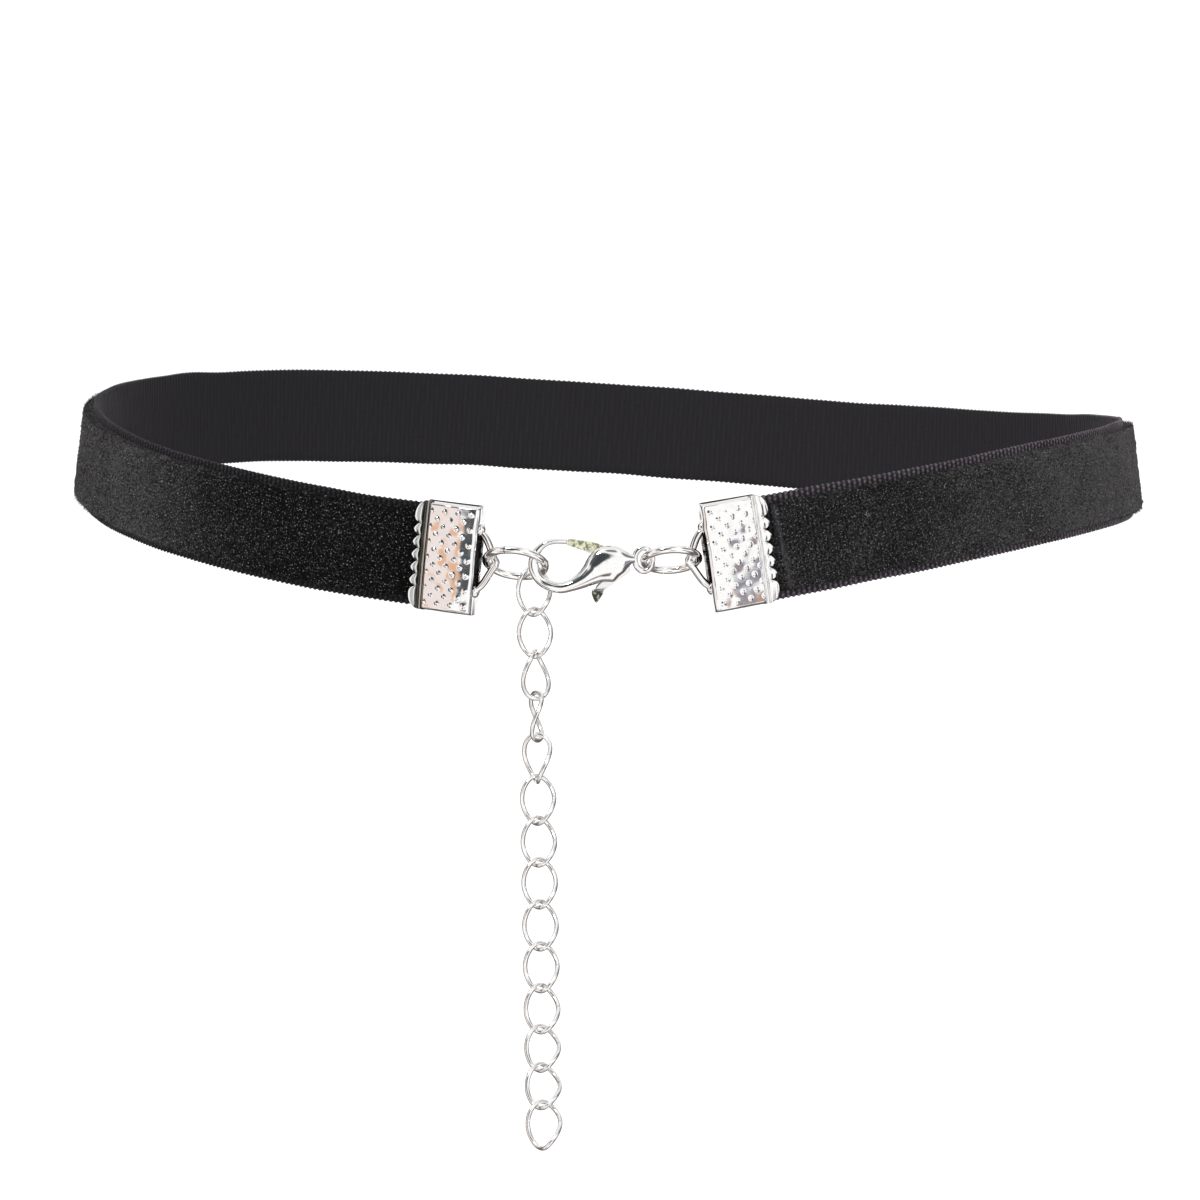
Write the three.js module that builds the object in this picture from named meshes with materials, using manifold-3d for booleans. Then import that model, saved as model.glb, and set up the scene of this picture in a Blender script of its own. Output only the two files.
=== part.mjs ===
// A velvet ribbon choker with folded crimp ends, a lobster clasp and an extender chain.
// Millimetres, +Z up. The clasp is on the -Y side and +X is to the right of it seen from outside.
// The origin is the middle of the neck, at the height of the band opposite the clasp.

import * as THREE from 'three';
import { mergeVertices } from 'three/addons/utils/BufferGeometryUtils.js';
import Module from 'manifold-3d';

const wasm = await Module();
wasm.setup();

const DEG = Math.PI / 180;
const UP = new THREE.Vector3(0, 0, 1);

// The loop that the band follows round the neck, at the middle of the ribbon
const LOOP_HALF_WIDTH = 53;
const LOOP_HALF_DEPTH = 50.35;
const CLASP_DROP = 8.9;
const LOOP_TILT = -1.0;
const LOOP_SKEW = 1.37;
const STEADY_CLIMB = 35 * DEG;
const LEVEL_FROM = 120 * DEG;

// Ribbon: a woven ground with a narrower strip of pile on its outer face
const RIBBON_WIDTH = 10;
const GROUND = 0.5;
const PILE_WIDTH = 8.4;
const PILE_HEIGHT = 1.0;
const PILE_ROUNDING = 0.3;
const PILE_CRUSHED = 0.3;
const CRUSH_RUN = 1.6;
const RIBBON_STEPS = 96;

// Crimp ends: sheet folded over the ribbon, toothed at its free edges
const CRIMP_HEIGHT = 10.4;
const CRIMP_LENGTH = 6.5;
const SHEET = 0.4;
const FOLD_THICKNESS = 3.05;
const FOLD_ROUNDING = 0.45;
const CRIMP_PLAY = 0.2;
const RIBBON_END_GAP = 0.85;
const FLANGE = 1.05;
const FLANGE_STEP = 0.25;
const TOOTH_COUNT = 5;
const TOOTH_PITCH = 1.22;
const TOOTH_DEPTH = 0.65;
const CORNER_CUT = 0.9;
const NOTCH_SHARE = 0.84;
const CORNER_SHARE = 0.3;
const DIMPLE_PITCH = 1.4;
const DIMPLE_ROW = 0.73;
const DIMPLE_RADIUS = 0.27;
const DIMPLE_HEIGHT = 0.15;
const DIMPLE_MARGIN = 0.75;
const WINDOW_HEIGHT = 5.4;

// Wire loop soldered to the fold
const BAIL_WIRE = 0.72;
const BAIL_REACH = 2.1;
const BAIL_LEVEL = 0.62;
const BAIL_SHAPE = [
  { reach: -0.14, spread: 1 },
  { reach: 0.35, spread: 0.72 },
  { reach: 0.816, spread: 0.204 },
  { reach: 1, spread: 0 },
];
const WIRE_PLAY = 0.18;

// Oval rings between the crimps and the clasp
const LEFT_RING_LENGTH = 6.5;
const RIGHT_RING_LENGTH = 6.0;
const RING_WIDTH = 5.8;
const RING_WIRE = 0.78;
const LEFT_RING_TILT = 56 * DEG;
const RIGHT_RING_TILT = 63 * DEG;

// Lobster clasp
const CLASP_LENGTH = 12.1;
const CLASP_WIDTH = 3.75;
const CLASP_DEPTH = 2.4;
const CLASP_OFF_CENTRE = -7.64;
const CLASP_STANDOFF = 0.95;
const CLASP_RISE = 1.05;
const CLASP_SLOPE = 2 * DEG;
const HOOK_PLAY = 0.2;
const EYE_BAR = 0.58;
const EYE_WIDTH = 2.25;
const EYE_HEIGHT = 2.75;
const LEVER_THICKNESS = 0.8;
const LEVER_PLAY = 0.13;
const HUB_RADIUS = 0.92;
const PIN_RADIUS = 0.35;
const PIN_PLAY = 0.06;
const PIN_LENGTH = 1.92;
const KNOB_THICKNESS = 1.5;

// Extender chain
const LINK_COUNT = 14;
const LINK_LENGTH = 5.05;
const LINK_WIDTH = 3.5;
const LINK_WIRE = 0.45;
const LINK_SLACK = 0.15;
const LINK_TWIST = 38 * DEG;
const CHAIN_START = -63 * DEG;

// Mesh detail
const WIRE_SIDES = 6;
const LINK_STEPS = 18;
const RING_STEPS = 24;
const EYE_SIDES = 8;
const EYE_STEPS = 20;
const BAIL_SIDES = 8;
const BAIL_STEPS = 22;
const PIN_SIDES = 12;
const HUB_SIDES = 16;
const SLOT_STEPS = 6;
const BODY_SIDES = 12;

// Sections of the clasp's body from the nose of the hook to the neck of the eye.
// along and rise are shares of CLASP_LENGTH, width of CLASP_WIDTH and depth of CLASP_DEPTH.
const BODY_SECTIONS = [
  { along: 0.299, rise: 0.161, width: 0.14, depth: 0.38 },
  { along: 0.228, rise: 0.165, width: 0.145, depth: 0.42 },
  { along: 0.157, rise: 0.155, width: 0.16, depth: 0.45 },
  { along: 0.102, rise: 0.118, width: 0.185, depth: 0.42 },
  { along: 0.061, rise: 0.063, width: 0.235, depth: 0.42 },
  { along: 0.044, rise: -0.008, width: 0.275, depth: 0.42 },
  { along: 0.059, rise: -0.079, width: 0.27, depth: 0.44 },
  { along: 0.102, rise: -0.142, width: 0.275, depth: 0.48 },
  { along: 0.169, rise: -0.183, width: 0.29, depth: 0.58 },
  { along: 0.252, rise: -0.201, width: 0.3, depth: 0.63 },
  { along: 0.339, rise: -0.183, width: 0.33, depth: 0.71 },
  { along: 0.417, rise: -0.15, width: 0.43, depth: 0.81 },
  { along: 0.488, rise: -0.106, width: 0.61, depth: 0.92 },
  { along: 0.551, rise: -0.063, width: 0.86, depth: 1 },
  { along: 0.614, rise: -0.031, width: 1, depth: 1 },
  { along: 0.677, rise: -0.012, width: 0.88, depth: 0.97 },
  { along: 0.74, rise: -0.004, width: 0.68, depth: 0.87 },
  { along: 0.795, rise: 0, width: 0.38, depth: 0.64 },
  { along: 0.84, rise: 0, width: 0.2, depth: 0.4 },
];

// Places on the clasp, in shares of CLASP_LENGTH
const PIVOT = { along: 0.732, rise: -0.012 };
const EYE = { along: 0.91, rise: -0.004 };
const HOOK_BAR = BODY_SECTIONS[5];

// Outline of the lever from the hub's top along the gate and back by the thumb piece
const LEVER_OUTLINE = [
  { along: 0.7, rise: 0.045 },
  { along: 0.567, rise: 0.142 },
  { along: 0.323, rise: 0.181 },
  { along: 0.308, rise: 0.135 },
  { along: 0.48, rise: 0.071 },
  { along: 0.661, rise: -0.035 },
  { along: 0.614, rise: -0.122 },
  { along: 0.551, rise: -0.173 },
  { along: 0.512, rise: -0.222 },
  { along: 0.578, rise: -0.24 },
  { along: 0.6, rise: -0.22 },
  { along: 0.784, rise: -0.105 },
  { along: 0.8, rise: -0.08 },
  { along: 0.803, rise: -0.012 },
  { along: 0.783, rise: 0.035 },
];
const KNOB_OUTLINE = [
  { along: 0.486, rise: -0.222 },
  { along: 0.502, rise: -0.29 },
  { along: 0.526, rise: -0.335 },
  { along: 0.56, rise: -0.29 },
  { along: 0.592, rise: -0.24 },
  { along: 0.575, rise: -0.216 },
];

// The slot in the clasp's body runs out to this share of CLASP_LENGTH from the pivot
const SLOT_REACH = 0.33;
const GATE_ROOM = 0.74;
const GATE_SLOT = { from: 122 * DEG, to: 180 * DEG };
const THUMB_SLOT = { from: 201 * DEG, to: 350 * DEG };

// How far each link is turned about the chain: one half turn lies in the upper links
const LINK_TURNS = [0, 4, 46, 92, 137, 174, 183, 177, 183, 178, 184, 177, 182, 172];
// How far each link leans out towards the viewer of the clasp
const LINK_LEANS = [14, 9, 10, 12, 16, 16, 16, 15, 16, 18, 24, 35, 38, 30];
const CHAIN_DRIFT = 1.2 * DEG;

const silver = { color: 0xdedcda, metalness: 1, roughness: 0.18 };
const material = {
  velvet: new THREE.MeshStandardMaterial({ color: 0x17161a, metalness: 0, roughness: 0.95 }),
  plated: new THREE.MeshStandardMaterial(silver),
  gate: new THREE.MeshStandardMaterial({ color: 0xcfcf9a, metalness: 1, roughness: 0.45 }),
};

// Turns a closed geometry into a solid for cutting and joining, and back
function toSolid(geometry) {
  const bare = geometry.clone();
  bare.deleteAttribute('normal');
  bare.deleteAttribute('uv');
  const merged = mergeVertices(bare, 1e-4);
  return new wasm.Manifold(new wasm.Mesh({
    numProp: 3,
    vertProperties: new Float32Array(merged.attributes.position.array),
    triVerts: new Uint32Array(merged.index.array),
  }));
}

function toGeometry(solid) {
  const { vertProperties, triVerts } = solid.getMesh();
  return indexed(vertProperties, triVerts);
}

function indexed(positions, triangles) {
  const geometry = new THREE.BufferGeometry();
  geometry.setAttribute('position', new THREE.BufferAttribute(new Float32Array(positions), 3));
  geometry.setIndex(new THREE.BufferAttribute(new Uint32Array(triangles), 1));
  geometry.computeVertexNormals();
  return geometry;
}

// Skins rows of points that run the same way round. The rows close on each other like a ring,
// or the first and last row are capped, with the cap's faces taken from a flat outline.
function skin(rows, capOutline) {
  const sides = rows[0].length;
  const closed = !capOutline;
  const triangles = [];
  const rowCount = closed ? rows.length : rows.length - 1;
  for (let row = 0; row < rowCount; row += 1) {
    const next = (row + 1) % rows.length;
    for (let side = 0; side < sides; side += 1) {
      const after = (side + 1) % sides;
      const a = row * sides + side;
      const b = next * sides + side;
      const c = next * sides + after;
      const d = row * sides + after;
      triangles.push(a, b, c, a, c, d);
    }
  }
  if (capOutline) {
    const last = (rows.length - 1) * sides;
    for (const [a, b, c] of THREE.ShapeUtils.triangulateShape(capOutline, [])) {
      triangles.push(a, b, c, last + c, last + b, last + a);
    }
  }
  const positions = rows.flat().flatMap((point) => [point.x, point.y, point.z]);
  return indexed(positions, signedVolume(positions, triangles) < 0 ? triangles.reverse() : triangles);
}

function signedVolume(positions, triangles) {
  const corner = (index) => new THREE.Vector3().fromArray(positions, index * 3);
  let volume = 0;
  for (let i = 0; i < triangles.length; i += 3) {
    const [a, b, c] = [corner(triangles[i]), corner(triangles[i + 1]), corner(triangles[i + 2])];
    volume += a.dot(b.cross(c)) / 6;
  }
  return volume;
}

// A closed ring of wire along pointAt(t), t from 0 to 1, round the origin of its own space
function wireRing(pointAt, wire, sides, steps) {
  const rows = [];
  for (let step = 0; step < steps; step += 1) {
    const t = step / steps;
    const centre = pointAt(t);
    const ahead = pointAt(t + 0.5 / steps).sub(pointAt(t - 0.5 / steps)).normalize();
    const outward = centre.clone().addScaledVector(ahead, -centre.dot(ahead)).normalize();
    const across = ahead.clone().cross(outward);
    rows.push(roundSection(centre, outward, across, wire / 2, wire / 2, sides));
  }
  return skin(rows);
}

function roundSection(centre, outward, across, halfWidth, halfDepth, sides) {
  return Array.from({ length: sides }, (_, side) => {
    const angle = (side / sides) * 2 * Math.PI;
    return centre.clone()
      .addScaledVector(outward, halfWidth * Math.cos(angle))
      .addScaledVector(across, halfDepth * Math.sin(angle));
  });
}

function regularOutline(sides) {
  return Array.from({ length: sides }, (_, side) => {
    const angle = (side / sides) * 2 * Math.PI;
    return new THREE.Vector2(Math.cos(angle), Math.sin(angle));
  });
}

// A flat plate whose outline lies in the XZ plane, centred on Y
function plate(points, thickness) {
  const shape = new THREE.Shape(points.map((point) => new THREE.Vector2(point.x, point.z)));
  const geometry = new THREE.ExtrudeGeometry(shape, { depth: thickness, bevelEnabled: false });
  return geometry.translate(0, 0, -thickness / 2).rotateX(Math.PI / 2);
}

// The band's path. turn is the angle round the neck from the clasp, positive towards +X.
const climbRun = LEVEL_FROM - STEADY_CLIMB;
const climbRate = CLASP_DROP / (STEADY_CLIMB + climbRun / 2);

function levelling(away) {
  return THREE.MathUtils.clamp((away - STEADY_CLIMB) / climbRun, 0, 1);
}

function heightAt(signed) {
  const away = Math.abs(signed);
  const u = levelling(away);
  const run = Math.min(away, STEADY_CLIMB) + climbRun * (u - u ** 3 + u ** 4 / 2);
  const tilt = LOOP_TILT * Math.sin(signed) + LOOP_SKEW * Math.sin(2 * signed);
  return climbRate * run - CLASP_DROP + tilt;
}

function climbAt(signed) {
  const u = levelling(Math.abs(signed));
  const tilt = LOOP_TILT * Math.cos(signed) + 2 * LOOP_SKEW * Math.cos(2 * signed);
  return climbRate * (1 - 3 * u ** 2 + 2 * u ** 3) * Math.sign(signed) + tilt;
}

// The lower edge leans out where the climb eases, as a flat band does on a round neck
function leanAt(away) {
  const u = levelling(away);
  return (6 * climbRate * (u - u ** 2)) / climbRun / LOOP_HALF_WIDTH;
}

function bandFrame(turn) {
  const signed = Math.atan2(Math.sin(turn), Math.cos(turn));
  const climb = climbAt(signed);
  const centre = new THREE.Vector3(
    LOOP_HALF_WIDTH * Math.sin(turn), -LOOP_HALF_DEPTH * Math.cos(turn), heightAt(signed));
  const along = new THREE.Vector3(
    LOOP_HALF_WIDTH * Math.cos(turn), LOOP_HALF_DEPTH * Math.sin(turn), climb).normalize();
  const upright = UP.clone().addScaledVector(along, -along.z).normalize();
  const out = along.clone().cross(upright);
  const lean = leanAt(Math.abs(signed));
  const width = upright.clone().multiplyScalar(Math.cos(lean)).addScaledVector(out, -Math.sin(lean));
  const normal = out.clone().multiplyScalar(Math.cos(lean)).addScaledVector(upright, Math.sin(lean));
  return { centre, along, width, normal };
}

// Clasp places in the neck's own space
const claspFrame = new THREE.Matrix4().makeRotationY(-CLASP_SLOPE).setPosition(
  CLASP_OFF_CENTRE, -(LOOP_HALF_DEPTH + CLASP_STANDOFF), heightAt(0) + CLASP_RISE);

function onClasp({ along, rise }) {
  return new THREE.Vector3(along * CLASP_LENGTH, 0, rise * CLASP_LENGTH);
}

// Crimp ends. side is 1 on the right and -1 on the left.
// In a crimp's own space X runs from the fold to the teeth, Y is outward and Z across the ribbon.
const backOuter = -(GROUND / 2 + CRIMP_PLAY + SHEET);
const teethOuter = GROUND / 2 + PILE_CRUSHED + CRIMP_PLAY + SHEET;
const foldOuter = backOuter + FOLD_THICKNESS;
const panelEnd = CRIMP_LENGTH - FLANGE;
const panelOuter = teethOuter + FLANGE_STEP;
const bailTip = BAIL_REACH - BAIL_WIRE / 2;
const ringInBail = bailTip - BAIL_WIRE / 2 - RING_WIRE / 2 - WIRE_PLAY;

function crimpFrame(side, away) {
  const band = bandFrame(side * away);
  const x = band.along.clone().multiplyScalar(side);
  const y = band.normal;
  const z = x.clone().cross(y);
  const fold = band.centre.clone().addScaledVector(x, -CRIMP_LENGTH / 2);
  return new THREE.Matrix4().makeBasis(x, y, z).setPosition(fold);
}

// Moves the crimp along the band until its ring just spans from the anchor to the wire loop
function seatCrimp(side, anchor, ringLength) {
  const ringSpan = ringLength - RING_WIRE;
  const gapTo = (away) => ringEnd(crimpFrame(side, away)).distanceTo(anchor);
  let near = 0;
  let far = Math.PI / 2;
  for (let pass = 0; pass < 40; pass += 1) {
    const middle = (near + far) / 2;
    if (gapTo(middle) < ringSpan) near = middle;
    else far = middle;
  }
  return { away: near, frame: crimpFrame(side, near) };
}

function ringEnd(frame) {
  return new THREE.Vector3(-ringInBail, BAIL_LEVEL, 0).applyMatrix4(frame);
}

// Height of the front panel's face over the ribbon's middle at a distance from the fold
function panelFace(x) {
  return THREE.MathUtils.mapLinear(x, FOLD_ROUNDING, panelEnd, foldOuter, panelOuter);
}

function crimpProfile() {
  const r = FOLD_ROUNDING;
  const c = r * (1 - Math.SQRT1_2);
  const points = [
    [CRIMP_LENGTH, backOuter],
    [CRIMP_LENGTH, backOuter + SHEET],
    [SHEET, backOuter + SHEET],
    [SHEET, panelFace(SHEET) - SHEET - c],
    [r, panelFace(r) - SHEET],
    [panelEnd - SHEET / 2, panelFace(panelEnd) - SHEET],
    [panelEnd + FLANGE_STEP - SHEET / 2, teethOuter - SHEET],
    [CRIMP_LENGTH, teethOuter - SHEET],
    [CRIMP_LENGTH, teethOuter],
    [panelEnd + FLANGE_STEP, teethOuter],
    [panelEnd, panelOuter],
    [r, foldOuter],
    [c, foldOuter - c],
    [0, foldOuter - r],
    [0, backOuter + r],
    [c, backOuter + c],
    [r, backOuter],
  ];
  return new THREE.Shape(points.map(([x, y]) => new THREE.Vector2(x, y)));
}

function prismAcross(points) {
  const shape = new THREE.Shape(points.map(([x, z]) => new THREE.Vector2(x, z)));
  const depth = FOLD_THICKNESS * 2;
  const geometry = new THREE.ExtrudeGeometry(shape, { depth, bevelEnabled: false });
  return toSolid(geometry.translate(0, 0, -depth / 2).rotateX(Math.PI / 2));
}

function cutTeeth(solid) {
  let toothed = solid;
  const half = TOOTH_PITCH * NOTCH_SHARE;
  for (let notch = 0; notch <= TOOTH_COUNT; notch += 1) {
    const z = (notch - TOOTH_COUNT / 2) * TOOTH_PITCH;
    const tip = CRIMP_LENGTH - TOOTH_DEPTH;
    const beyond = CRIMP_LENGTH + TOOTH_DEPTH;
    toothed = toothed.subtract(prismAcross([[tip, z], [beyond, z - half], [beyond, z + half]]));
  }
  for (const end of [-1, 1]) {
    const edge = (end * CRIMP_HEIGHT) / 2;
    const corner = [
      [CRIMP_LENGTH - CORNER_CUT, edge + end * SHEET],
      [CRIMP_LENGTH - CORNER_CUT, edge],
      [CRIMP_LENGTH - CORNER_CUT * CORNER_SHARE, edge - end * CORNER_CUT * CORNER_SHARE],
      [CRIMP_LENGTH, edge - end * CORNER_CUT],
      [CRIMP_LENGTH + SHEET, edge - end * CORNER_CUT],
      [CRIMP_LENGTH + SHEET, edge + end * SHEET],
    ];
    toothed = toothed.subtract(prismAcross(corner));
  }
  return toothed;
}

// Raised points in staggered rows over the front panel and the back
function addDimples(solid) {
  let dimpled = solid;
  const rows = Math.floor((CRIMP_HEIGHT - DIMPLE_MARGIN * 2) / DIMPLE_ROW);
  const cone = new THREE.ConeGeometry(DIMPLE_RADIUS, DIMPLE_HEIGHT * 2, WIRE_SIDES);
  for (let row = 0; row <= rows; row += 1) {
    const z = (row - rows / 2) * DIMPLE_ROW;
    const first = DIMPLE_MARGIN + (row % 2) * (DIMPLE_PITCH / 2);
    for (let x = first; x <= panelEnd - DIMPLE_RADIUS; x += DIMPLE_PITCH) {
      const front = cone.clone().translate(x, panelFace(x), z);
      const back = cone.clone().rotateX(Math.PI).translate(x, backOuter, z);
      dimpled = dimpled.add(toSolid(front)).add(toSolid(back));
    }
  }
  return dimpled;
}

// The wire loop leaves one end of the window, turns round its nose and enters the other end
function bailWire() {
  const root = WINDOW_HEIGHT / 2 + BAIL_WIRE / 3;
  const upper = BAIL_SHAPE.map(({ reach, spread }) => [-bailTip * reach, root * spread]);
  const lower = upper.slice(0, -1).reverse().map(([x, z]) => [x, -z]);
  const extrudePath = new THREE.CatmullRomCurve3(
    [...upper, ...lower].map(([x, z]) => new THREE.Vector3(x, BAIL_LEVEL, z)));
  const section = regularOutline(BAIL_SIDES).map((point) => point.multiplyScalar(BAIL_WIRE / 2));
  return new THREE.ExtrudeGeometry(new THREE.Shape(section), { steps: BAIL_STEPS, extrudePath });
}

function crimpGeometry() {
  const sheet = new THREE.ExtrudeGeometry(crimpProfile(), { depth: CRIMP_HEIGHT, bevelEnabled: false });
  const folded = toSolid(sheet.translate(0, 0, -CRIMP_HEIGHT / 2));
  const windowDepth = foldOuter - backOuter - SHEET * 2;
  const opening = new THREE.BoxGeometry(SHEET * 4, windowDepth, WINDOW_HEIGHT);
  opening.translate(0, backOuter + SHEET + windowDepth / 2, 0);
  const pierced = cutTeeth(folded).subtract(toSolid(opening));
  return toGeometry(addDimples(pierced).add(toSolid(bailWire())));
}

// Ribbon
function ribbonSection(pile) {
  const half = RIBBON_WIDTH / 2;
  const edge = PILE_WIDTH / 2;
  const face = GROUND / 2;
  const round = Math.min(PILE_ROUNDING, pile / 2);
  return [
    [-half, -face],
    [half, -face],
    [half, face],
    [edge, face],
    [edge - round * 0.2, face + pile - round],
    [edge - round, face + pile],
    [-edge + round, face + pile],
    [-edge + round * 0.2, face + pile - round],
    [-edge, face],
    [-half, face],
  ].map(([across, out]) => new THREE.Vector2(across, out));
}

// Distance along the band per radian near the clasp, where the crimps sit
const perRadian = Math.hypot(LOOP_HALF_WIDTH, climbRate);

function ribbonGeometry(leftAway, rightAway) {
  const inside = (CRIMP_LENGTH / 2 - RIBBON_END_GAP) / perRadian;
  const mouth = CRIMP_LENGTH / 2 / perRadian;
  const run = CRUSH_RUN / perRadian;
  const start = rightAway - inside;
  const end = 2 * Math.PI - leftAway + inside;
  const free = [rightAway + mouth, 2 * Math.PI - leftAway - mouth];
  const turns = [start, free[0]];
  for (const share of [0.33, 0.67]) turns.push(free[0] + run * share);
  for (let step = 0; step <= RIBBON_STEPS; step += 1) {
    turns.push(THREE.MathUtils.lerp(free[0] + run, free[1] - run, step / RIBBON_STEPS));
  }
  for (const share of [0.67, 0.33]) turns.push(free[1] - run * share);
  turns.push(free[1], end);
  const rows = turns.map((turn) => {
    const { centre, width, normal } = bandFrame(turn);
    const clear = Math.min(turn - free[0], free[1] - turn) / run;
    const pile = THREE.MathUtils.lerp(PILE_CRUSHED, PILE_HEIGHT, THREE.MathUtils.smoothstep(clear, 0, 1));
    return ribbonSection(pile).map((point) => centre.clone()
      .addScaledVector(width, point.x)
      .addScaledVector(normal, point.y));
  });
  return skin(rows, ribbonSection(PILE_CRUSHED));
}

// Rings: the top of each ring leans out towards the viewer of the clasp
function ringFrame(from, to, tilt) {
  const x = to.clone().sub(from).normalize();
  const level = UP.clone().addScaledVector(x, -x.z).normalize();
  const z = level.applyAxisAngle(x, tilt);
  const y = z.clone().cross(x);
  return new THREE.Matrix4().makeBasis(x, y, z).setPosition(from.clone().add(to).multiplyScalar(0.5));
}

// A point on the middle of an oval wire in the XZ plane
function ovalPoint(length, width, wire, t) {
  const angle = t * 2 * Math.PI;
  const [halfLength, halfWidth] = [(length - wire) / 2, (width - wire) / 2];
  return new THREE.Vector3(halfLength * Math.cos(angle), 0, halfWidth * Math.sin(angle));
}

// Clasp body
function claspBody() {
  const centres = BODY_SECTIONS.map(onClasp);
  const rows = BODY_SECTIONS.map(({ width, depth }, index) => {
    const ahead = centres[Math.min(index + 1, centres.length - 1)].clone()
      .sub(centres[Math.max(index - 1, 0)]).normalize();
    const across = new THREE.Vector3(0, 1, 0);
    const outward = ahead.clone().cross(across);
    return roundSection(
      centres[index], outward, across, (width * CLASP_WIDTH) / 2, (depth * CLASP_DEPTH) / 2, BODY_SIDES);
  });
  const casting = toSolid(skin(rows, regularOutline(BODY_SIDES)));
  const eye = wireRing((t) => ovalPoint(EYE_WIDTH, EYE_HEIGHT, EYE_BAR, t), EYE_BAR, EYE_SIDES, EYE_STEPS);
  const eyePlace = onClasp(EYE);
  eye.translate(eyePlace.x, eyePlace.y, eyePlace.z);
  const slotted = leverSlots().reduce((solid, slot) => solid.subtract(slot), casting);
  return toGeometry(slotted.add(toSolid(eye)).add(toSolid(pivotPin())));
}

function leverSlots() {
  const pivot = onClasp(PIVOT);
  const reach = SLOT_REACH * CLASP_LENGTH;
  const width = LEVER_THICKNESS + LEVER_PLAY * 2;
  const below = GATE_ROOM + LEVER_PLAY;
  const arc = ({ from, to }) => Array.from({ length: SLOT_STEPS + 1 }, (_, step) => {
    const angle = THREE.MathUtils.lerp(from, to, step / SLOT_STEPS);
    return new THREE.Vector3(reach * Math.cos(angle), 0, reach * Math.sin(angle)).add(pivot);
  });
  const lowered = (point) => new THREE.Vector3(point.x, point.y, point.z - below);
  const gateArc = arc(GATE_SLOT);
  const gateSlot = plate([pivot, ...gateArc, lowered(gateArc[SLOT_STEPS]), lowered(pivot)], width);
  const thumbSlot = plate([pivot, ...arc(THUMB_SLOT)], width);
  const hubRoom = HUB_RADIUS + LEVER_PLAY;
  const hub = new THREE.CylinderGeometry(hubRoom, hubRoom, width, HUB_SIDES);
  hub.translate(pivot.x, pivot.y, pivot.z);
  return [gateSlot, thumbSlot, hub].map(toSolid);
}

function pivotPin() {
  const pivot = onClasp(PIVOT);
  const pin = new THREE.CylinderGeometry(PIN_RADIUS, PIN_RADIUS, PIN_LENGTH, PIN_SIDES);
  return pin.translate(pivot.x, pivot.y, pivot.z);
}

function leverGeometry() {
  const pivot = onClasp(PIVOT);
  const arm = toSolid(plate(LEVER_OUTLINE.map(onClasp), LEVER_THICKNESS));
  const knob = toSolid(plate(KNOB_OUTLINE.map(onClasp), KNOB_THICKNESS));
  const hub = new THREE.CylinderGeometry(HUB_RADIUS, HUB_RADIUS, LEVER_THICKNESS, HUB_SIDES);
  hub.translate(pivot.x, pivot.y, pivot.z);
  const hole = PIN_RADIUS + PIN_PLAY;
  const bore = new THREE.CylinderGeometry(hole, hole, LEVER_THICKNESS * 2, PIN_SIDES);
  bore.translate(pivot.x, pivot.y, pivot.z);
  return toGeometry(arm.add(toSolid(hub)).add(knob).subtract(toSolid(bore)));
}

// Chain links: ovals twisted so that neighbours lie flat
function linkPoint(t) {
  const angle = t * 2 * Math.PI;
  const x = ((LINK_WIDTH - LINK_WIRE) / 2) * Math.cos(angle);
  const z = ((LINK_LENGTH - LINK_WIRE) / 2) * Math.sin(angle);
  const twist = LINK_TWIST * Math.sin(angle);
  return new THREE.Vector3(x * Math.cos(twist), x * Math.sin(twist), z);
}

function chainMatrices(hangPoint) {
  const pitch = LINK_LENGTH - 2 * LINK_WIRE - LINK_SLACK;
  const firstDrop = LINK_LENGTH / 2 - LINK_WIRE - RING_WIRE / 2 - WIRE_PLAY;
  const place = hangPoint.clone();
  const direction = (link) => {
    const lean = LINK_LEANS[link % LINK_LEANS.length] * DEG;
    return new THREE.Vector3(Math.sin(CHAIN_DRIFT), -Math.sin(lean), -Math.cos(lean)).normalize();
  };
  let down = direction(0);
  place.addScaledVector(down, firstDrop);
  const matrices = [];
  for (let link = 0; link < LINK_COUNT; link += 1) {
    const turn = new THREE.Quaternion().setFromAxisAngle(UP, LINK_TURNS[link % LINK_TURNS.length] * DEG);
    const tip = new THREE.Quaternion().setFromUnitVectors(UP, down.clone().negate());
    matrices.push(new THREE.Matrix4().compose(place.clone(), tip.multiply(turn), new THREE.Vector3(1, 1, 1)));
    const next = direction(link + 1);
    place.addScaledVector(down, pitch / 2).addScaledVector(next, pitch / 2);
    down = next;
  }
  return matrices;
}

// Assembly
const choker = new THREE.Group();

function addPiece(parent, name, geometry, finish, matrix = new THREE.Matrix4()) {
  const mesh = new THREE.Mesh(geometry, finish);
  mesh.name = name;
  mesh.applyMatrix4(matrix);
  parent.add(mesh);
}

addPiece(choker, 'clasp_body', claspBody(), material.plated, claspFrame);
addPiece(choker, 'clasp_lever', leverGeometry(), material.gate, claspFrame);

const barHalf = (HOOK_BAR.width * CLASP_WIDTH) / 2;
const leftAnchor = onClasp(HOOK_BAR).applyMatrix4(claspFrame);
leftAnchor.x += barHalf + RING_WIRE / 2 + HOOK_PLAY;
const rightAnchor = onClasp(EYE).applyMatrix4(claspFrame);
const left = seatCrimp(-1, leftAnchor, LEFT_RING_LENGTH);
const right = seatCrimp(1, rightAnchor, RIGHT_RING_LENGTH);

const crimp = crimpGeometry();
addPiece(choker, 'crimp_left', crimp, material.plated, left.frame);
addPiece(choker, 'crimp_right', crimp, material.plated, right.frame);
addPiece(choker, 'ribbon', ribbonGeometry(left.away, right.away), material.velvet);

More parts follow.
